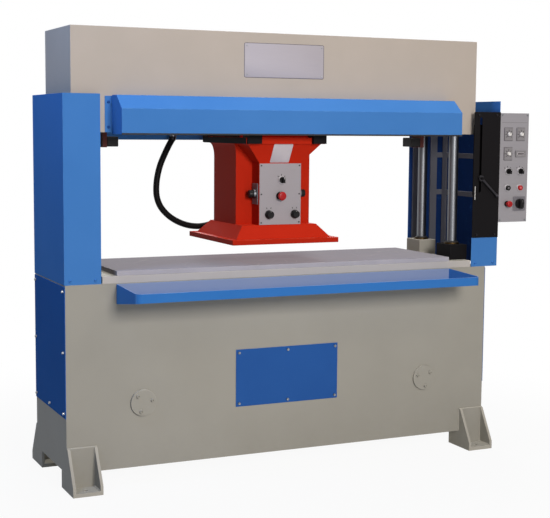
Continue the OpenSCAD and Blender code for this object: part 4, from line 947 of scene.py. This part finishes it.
# Fluted knobs on the head's plate, each between two strokes
HEAD_DIAL_R = 29
for node in ("head_knob_left", "head_knob_right"):
    x, y, z = place = seat(node, head_face)
    fitting(node + "_grip", node, BLACK_PLASTIC,
            [lathe([(0, GAP), (18.3, GAP), (18.9, 1.4, "cut"), (18.9, 8.6, "cut"), (16.6, 10.4),
                    (16.0, 22.4), (14.8, 24.2), (11.6, 24.2), (10.6, 23.2), (0, 23.0)],
                   place, FRONT, sides=108, flutes=18, flute_depth=1.1)], node)
    fitting(node + "_pointer", node, WHITE_PLASTIC,
            [bar((x - 0.8, y - 24.6, z + 11.8), (x + 0.8, y - 24, z + 14.6))])
    dial("head", place, HEAD_DIAL_R, (-20, 20))

# Push buttons on the head's sides
SIDE_BUTTON_H = 30
for node, side, sign in (("side_button_left", LEFT, -1), ("side_button_right", RIGHT, 1)):
    low, high = corners(node)
    centre = middle(node)
    surface = (high.x if sign > 0 else low.x) - sign * SIDE_BUTTON_H
    place = (surface, centre.y, centre.z)
    fitting(node + "_cap", node, BLACK_PLASTIC,
            [lathe([(0, 6.6), (16.9, 6.6), (16.9, 27.4), (15.4, 29.6), (12, SIDE_BUTTON_H), (0, 28.6)],
                   place, side)], node)
    keep("head", CHROME, "chrome", lathe(collar(17.4, 20.4, 10), place, side))

# Window of the counter, with five plain drums
WINDOW_W, WINDOW_H, DRUM_W, DRUM_H, DRUM_PITCH = 38, 11, 4.8, 7.2, 6.6
counter_face = corners("counter")[0].y
x, _, z = middle("counter")
keep("base", PALE_FOIL, "white_plastic",
     bar((x - WINDOW_W / 2, counter_face + 1.6, z - WINDOW_H / 2),
         (x + WINDOW_W / 2, counter_face + 3, z + WINDOW_H / 2)))
for k in range(-2, 3):
    drum_x = x + DRUM_PITCH * k
    keep("base", BLACK_PLASTIC, "black_plastic",
         bar((drum_x - DRUM_W / 2, counter_face + 1.1, z - DRUM_H / 2),
             (drum_x + DRUM_W / 2, counter_face + 1.8, z + DRUM_H / 2)))

# Clamp lever: hub, tapered rod and ball, whose middle is BALL_INSET from the node's corner
BALL_R, BALL_INSET = 8.5, 10
ROD_R, ROD_TAPER, ROD_STEPS, ROD_SIDES = 6.5, 1.8, 12, 20
hub = middle("setting_clamp")
lever_low, lever_high = corners("clamp_lever")
lever_y = (lever_low.y + lever_high.y) / 2
rod_foot = mm(hub.x, lever_y, hub.z)
rod_tip = mm(lever_high.x - BALL_INSET, lever_y, lever_low.z + BALL_INSET)
rod = [rod_foot.lerp(rod_tip, k / ROD_STEPS) for k in range(ROD_STEPS + 1)]
rod_radii = [(ROD_R - ROD_TAPER * k / ROD_STEPS) * MM for k in range(ROD_STEPS + 1)]
fitting("clamp_lever_formed", "clamp_lever", DARK_STEEL, [
    lathe([(0, 0), (13.4, 0), (13.4, 10.5), (12, 12), (0, 12)], (hub.x, lever_high.y, hub.z), FRONT),
    lambda bm: tube(bm, rod, rod_radii, ROD_SIDES),
    lambda bm: bmesh.ops.create_uvsphere(bm, u_segments=24, v_segments=14, radius=BALL_R * MM,
                                         matrix=Matrix.Translation(rod_tip))], "clamp_lever")

# Plates, strips and rings

# The beam's bare plate, bordered and riveted
BEAM_PLATE_W, BEAM_PLATE_H, BORDER_W = 371, 141, 2.5
BEAM_PLATE_X, BEAM_PLATE_Z = -19.5, 1755.5
RIVET, RIVET_INSET = [(0, 0.6), (3.4, 0.6), (3.0, 2.2), (1.8, 3.0), (0, 3.2)], 10
beam_face = corners("beam")[0].y
place = (BEAM_PLATE_X, beam_face, BEAM_PLATE_Z)
keep("beam", PRINT, "black_plastic",
     plate(rounded(BEAM_PLATE_W + 2 * BORDER_W, BEAM_PLATE_H + 2 * BORDER_W, 8),
           place, FRONT, 0.6))
keep("beam", SILVER, "panel_aluminium",
     plate(rounded(BEAM_PLATE_W, BEAM_PLATE_H, 6), place, FRONT, 1.2))
for sx in (-1, 1):
    for sz in (-1, 1):
        corner = (BEAM_PLATE_X + sx * (BEAM_PLATE_W / 2 - RIVET_INSET), beam_face - 0.8,
                  BEAM_PLATE_Z + sz * (BEAM_PLATE_H / 2 - RIVET_INSET))
        keep("beam", ZINC, "steel", lathe(RIVET, corner, FRONT, sides=20))

# The bare plate on the head's flared front, which leans out from its foot to the flange
FLARE_FOOT_Z, FLARE_TOP_Z, FLANGE_LIP = 1325, 1405, 12
FLARE_PLATE, FLARE_PLATE_T, FLARE_PLATE_LEFT = rounded(90, 92, 5), 0.8, 5
flare_foot = Vector((head_face + PANEL_T, FLARE_FOOT_Z))
flare_top = Vector((corners("head_body")[0].y + FLANGE_LIP, FLARE_TOP_Z))
lean = (flare_top - flare_foot).normalized()
flare_middle = (flare_foot + flare_top) / 2
keep("head", PALE_FOIL, "white_plastic",
     plate(FLARE_PLATE, (panel_middle - FLARE_PLATE_LEFT, *flare_middle),
           ((1, 0, 0), (0, *lean)), FLARE_PLATE_T))

# A pale strip beside the setting slot
STRIP, STRIP_LEFT, STRIP_Z = rounded(3, 62, 0.8), 26, 1182
panel_low, panel_high = corners("setting_panel")
keep("base", WHITE_PLASTIC, "white_plastic",
     plate(STRIP, (hub.x - STRIP_LEFT, panel_low.y, STRIP_Z), FRONT, 0.6))

# A black channel behind the setting slot, below the slot's upper end, as painted shade in the slot
CHANNEL_W, CHANNEL_D, CHANNEL_T, CHANNEL_H, CHANNEL_DROP = 44, 24, 2, 325, 58
outside, inside, back = CHANNEL_W / 2, CHANNEL_W / 2 - CHANNEL_T, CHANNEL_D - CHANNEL_T
keep("base", BLACK, "black_paint", plate(
    [(-outside, 0), (-outside, CHANNEL_D), (outside, CHANNEL_D), (outside, 0), (inside, 0),
     (inside, back), (-inside, back), (-inside, 0)],
    (hub.x, panel_high.y, panel_high.z - CHANNEL_DROP - CHANNEL_H), TOP, CHANNEL_H))

# A printed line across the upper end of the box's plate
LINE, LINE_Z = rounded(142, 1.2, 0.4), 1506
keep("base", PRINT, "black_plastic",
     plate(LINE, (middle("control_plate").x, box_face, LINE_Z), FRONT, 0.2))

# A black rubber strip on the foot of the front beam guard, as painted shade under its lower edge, clear of
# the ear at its left end
EAR_W = 30
low, high = corners("beam_guard_front")
keep("beam", RUBBER, "rubber",
     bar((low.x + EAR_W, low.y - 1.6, low.z - 1.6), (high.x, low.y + 4.6, low.z + 5)))

# Rubber wipers on the bushes, round the columns
COLUMN_R, BUSH_COLLAR_R = 22.5, 35.5
WIPER = [(COLUMN_R + GAP, 0), (30, 0), (30, 3), (25, 7), (COLUMN_R + GAP, 7)]
low, high = corners("column_bushes")
for x in (low.x + BUSH_COLLAR_R, high.x - BUSH_COLLAR_R):
    for y in (low.y + BUSH_COLLAR_R, high.y - BUSH_COLLAR_R):
        keep("base", RUBBER, "rubber", lathe(WIPER, (x, y, high.z), TOP))

for (body, finish, slot), shapes in trim.items():
    fitting("%s_trim_%s" % (body, finish.name), body, finish, shapes)

# Screws

# Radii of the heads, and their height as a share of the radius
PANEL_SCREW, SMALL_SCREW, COVER_SCREW, FLANGE_BOLT = 3.2, 4.5, 6.0, 8.0
HEAD_SHARE = 1.1
# How far the screws sit from the edges of what they hold
COVER_INSET, SIDE_INSET, PLATE_INSET = 14, 20, 9
GUARD_INSET, GUARD_RISE, SETTING_INSET = 24, 16, 22
EAR_RISE, EAR_DROP, GUARD_T = 21, 28, 3
# Half the width between the head panel's screws, and the pivot flanges with their bolt circle
PANEL_SCREW_X = 90
FLANGE_R, BOLT_CIRCLE_R = 55, 38
screws = {}


def screw(body, radius, finish, place, side):
    """Notes a screw, with its socket turned by an angle that differs from place to place."""
    facing = Vector(OUT[side]).to_track_quat("Z", "Y").to_matrix()
    spin = Matrix.Rotation(len(screws) + sum(place), 3, "Z")
    screws.setdefault((body, radius, finish), []).append((place, (facing @ spin).to_euler()))


low, high = corners("access_cover")
for x in (low.x + COVER_INSET, (low.x + high.x) / 2, high.x - COVER_INSET):
    for z in (low.z + COVER_INSET, high.z - COVER_INSET):
        screw("base", COVER_SCREW, ZINC, (x, low.y, z), FRONT)
low, high = corners("left_guard")
for x in (low.x + GUARD_INSET, high.x - GUARD_INSET):
    screw("base", COVER_SCREW, BLUE, (x, low.y, low.z + GUARD_RISE), FRONT)
for x in (panel_low.x + SETTING_INSET, panel_high.x - SETTING_INSET):
    screw("base", COVER_SCREW, BLUE, (x, corners("right_guard")[0].y, low.z + GUARD_RISE), FRONT)
    for z in (panel_low.z + COVER_INSET, panel_high.z - COVER_INSET):
        screw("base", SMALL_SCREW, DARK_STEEL, (x, panel_low.y, z), FRONT)
low, high = corners("control_plate")
for x in (low.x + PLATE_INSET, high.x - PLATE_INSET):
    for z in (low.z + PLATE_INSET, high.z - PLATE_INSET):
        screw("base", SMALL_SCREW, ZINC, (x, box_face, z), FRONT)
low, high = corners("side_covers")
for x, side in ((low.x, LEFT), (high.x, RIGHT)):
    for z in (low.z + SIDE_INSET, (low.z + high.z) / 2, high.z - SIDE_INSET):
        for y in (low.y + SIDE_INSET, high.y - SIDE_INSET):
            screw("base", COVER_SCREW, ZINC, (x, y, z), side)
    screw("base", COVER_SCREW, ZINC, (x, 0, low.z + SIDE_INSET), side)
low, high = corners("pivot_pins")
for x, first in ((low.x + FLANGE_R, 12), (high.x - FLANGE_R, 38)):
    for degrees in (first, first + 120, first + 240):
        angle = math.radians(degrees)
        screw("base", FLANGE_BOLT, SHADED_BASE_BEIGE,
              (x + BOLT_CIRCLE_R * math.cos(angle), low.y,
               middle("pivot_pins").z + BOLT_CIRCLE_R * math.sin(angle)), FRONT)
for node, side, y in (("beam_guard_front", FRONT, beam_face - GUARD_T),
                      ("beam_guard_rear", REAR, GUARD_T - beam_face)):
    low, high = corners(node)
    for z in (corners("beam")[0].z + EAR_RISE, high.z - EAR_DROP):
        screw("beam", COVER_SCREW, DEEP_BLUE, (low.x + EAR_W / 2, y, z), side)
low, high = corners("head_panel")
for dx in (-PANEL_SCREW_X, PANEL_SCREW_X):
    for z in (low.z + PLATE_INSET, (low.z + high.z) / 2, high.z - PLATE_INSET):
        screw("head", PANEL_SCREW, DARK_STEEL, (panel_middle + dx, head_face, z), FRONT)

socket_screws = screw_group()
for (body, radius, finish), points in screws.items():
    name = "%s_screws_%g_%s" % (body, radius, finish.name)
    grown(name, points_mesh(name + "_points", points), socket_screws,
          {"Head radius": radius * MM, "Head height": radius * HEAD_SHARE * MM}, finish, body)

# Dial strokes: width, thickness and length

STROKE = (2.6, 0.3, 7)
dial_ticks = tick_group()
for body, points in ticks.items():
    grown(body + "_dial_strokes", points_mesh(body + "_dial_points", points), dial_ticks,
          {"Stroke": mm(*STROKE)}, BLACK_PLASTIC, body)

# Webs in the feet, and welds where the feet meet the base

FOOT_W, GUSSET_T, FOOT_PLATE_T, WEB_T, WEB_INSET = 125, 12, 16, 9, 1
BEAD_R, RIPPLE = 4, 5
# How far a bead lies out from the wall, and how far the seams stop short of the ends
BEAD_OUT, SEAM_RISE, SEAM_DROP, GUSSET_DROP, GUSSET_SHORT = 3, 3, 4, 8, 6
foot_high = corners("feet")[1]
inner, outer, foot_top = foot_high.x - FOOT_W, foot_high.x, foot_high.z
seams, webs = [], []
for sx in (-1, 1):
    for sy in (-1, 1):
        wall = sy * base_high.y
        web = wall + sy * WEB_T
        webs.append(bar((sx * (inner + WEB_INSET), wall, FOOT_PLATE_T),
                        (sx * (outer - WEB_INSET), web, foot_top - WEB_INSET)))
        bead_y = wall + sy * BEAD_OUT
        seams.append(((sx * inner, bead_y, foot_top), (sx * outer, bead_y, foot_top)))
        seams.append(((sx * inner, wall, base_low.z + SEAM_RISE), (sx * inner, wall, foot_top - SEAM_DROP)))
        for x in (inner + GUSSET_T, outer - GUSSET_T):
            root = (sx * x, web, FOOT_PLATE_T)
            seams.append((root, (sx * x, web, foot_top - GUSSET_DROP)))
            seams.append((root, (sx * x, sy * (foot_high.y - GUSSET_SHORT), FOOT_PLATE_T)))
fitting("foot_webs", "base", SHADED_BASE_BEIGE, webs)
weld_mesh = bpy.data.meshes.new("weld_seams")
weld_mesh.from_pydata([mm(*end) for seam in seams for end in seam],
                      [(2 * k, 2 * k + 1) for k in range(len(seams))], [])
grown("foot_welds", weld_mesh, weld_group(), {"Bead radius": BEAD_R * MM, "Ripple pitch": RIPPLE * MM},
      FOOT_BEIGE, "base")

# Crimped ferrules over this many points of the hose's ends: two points wide, two narrow

FERRULE_WIDE, FERRULE_NARROW, FERRULE_SIDES = 2.9, 2.1, 28
BEAM_FERRULE, HEAD_FERRULE = 8, 14
for body, path in (("beam", hose_path[:BEAM_FERRULE]), ("head", hose_path[-HEAD_FERRULE:])):
    radii = [(HOSE_D / 2 + (FERRULE_WIDE if k % 4 < 2 else FERRULE_NARROW)) * MM
             for k in range(len(path))]
    fitting(body + "_hose_ferrule", body, DARK_STEEL,
            [lambda bm, path=path, radii=radii: tube(bm, path, radii, FERRULE_SIDES)])
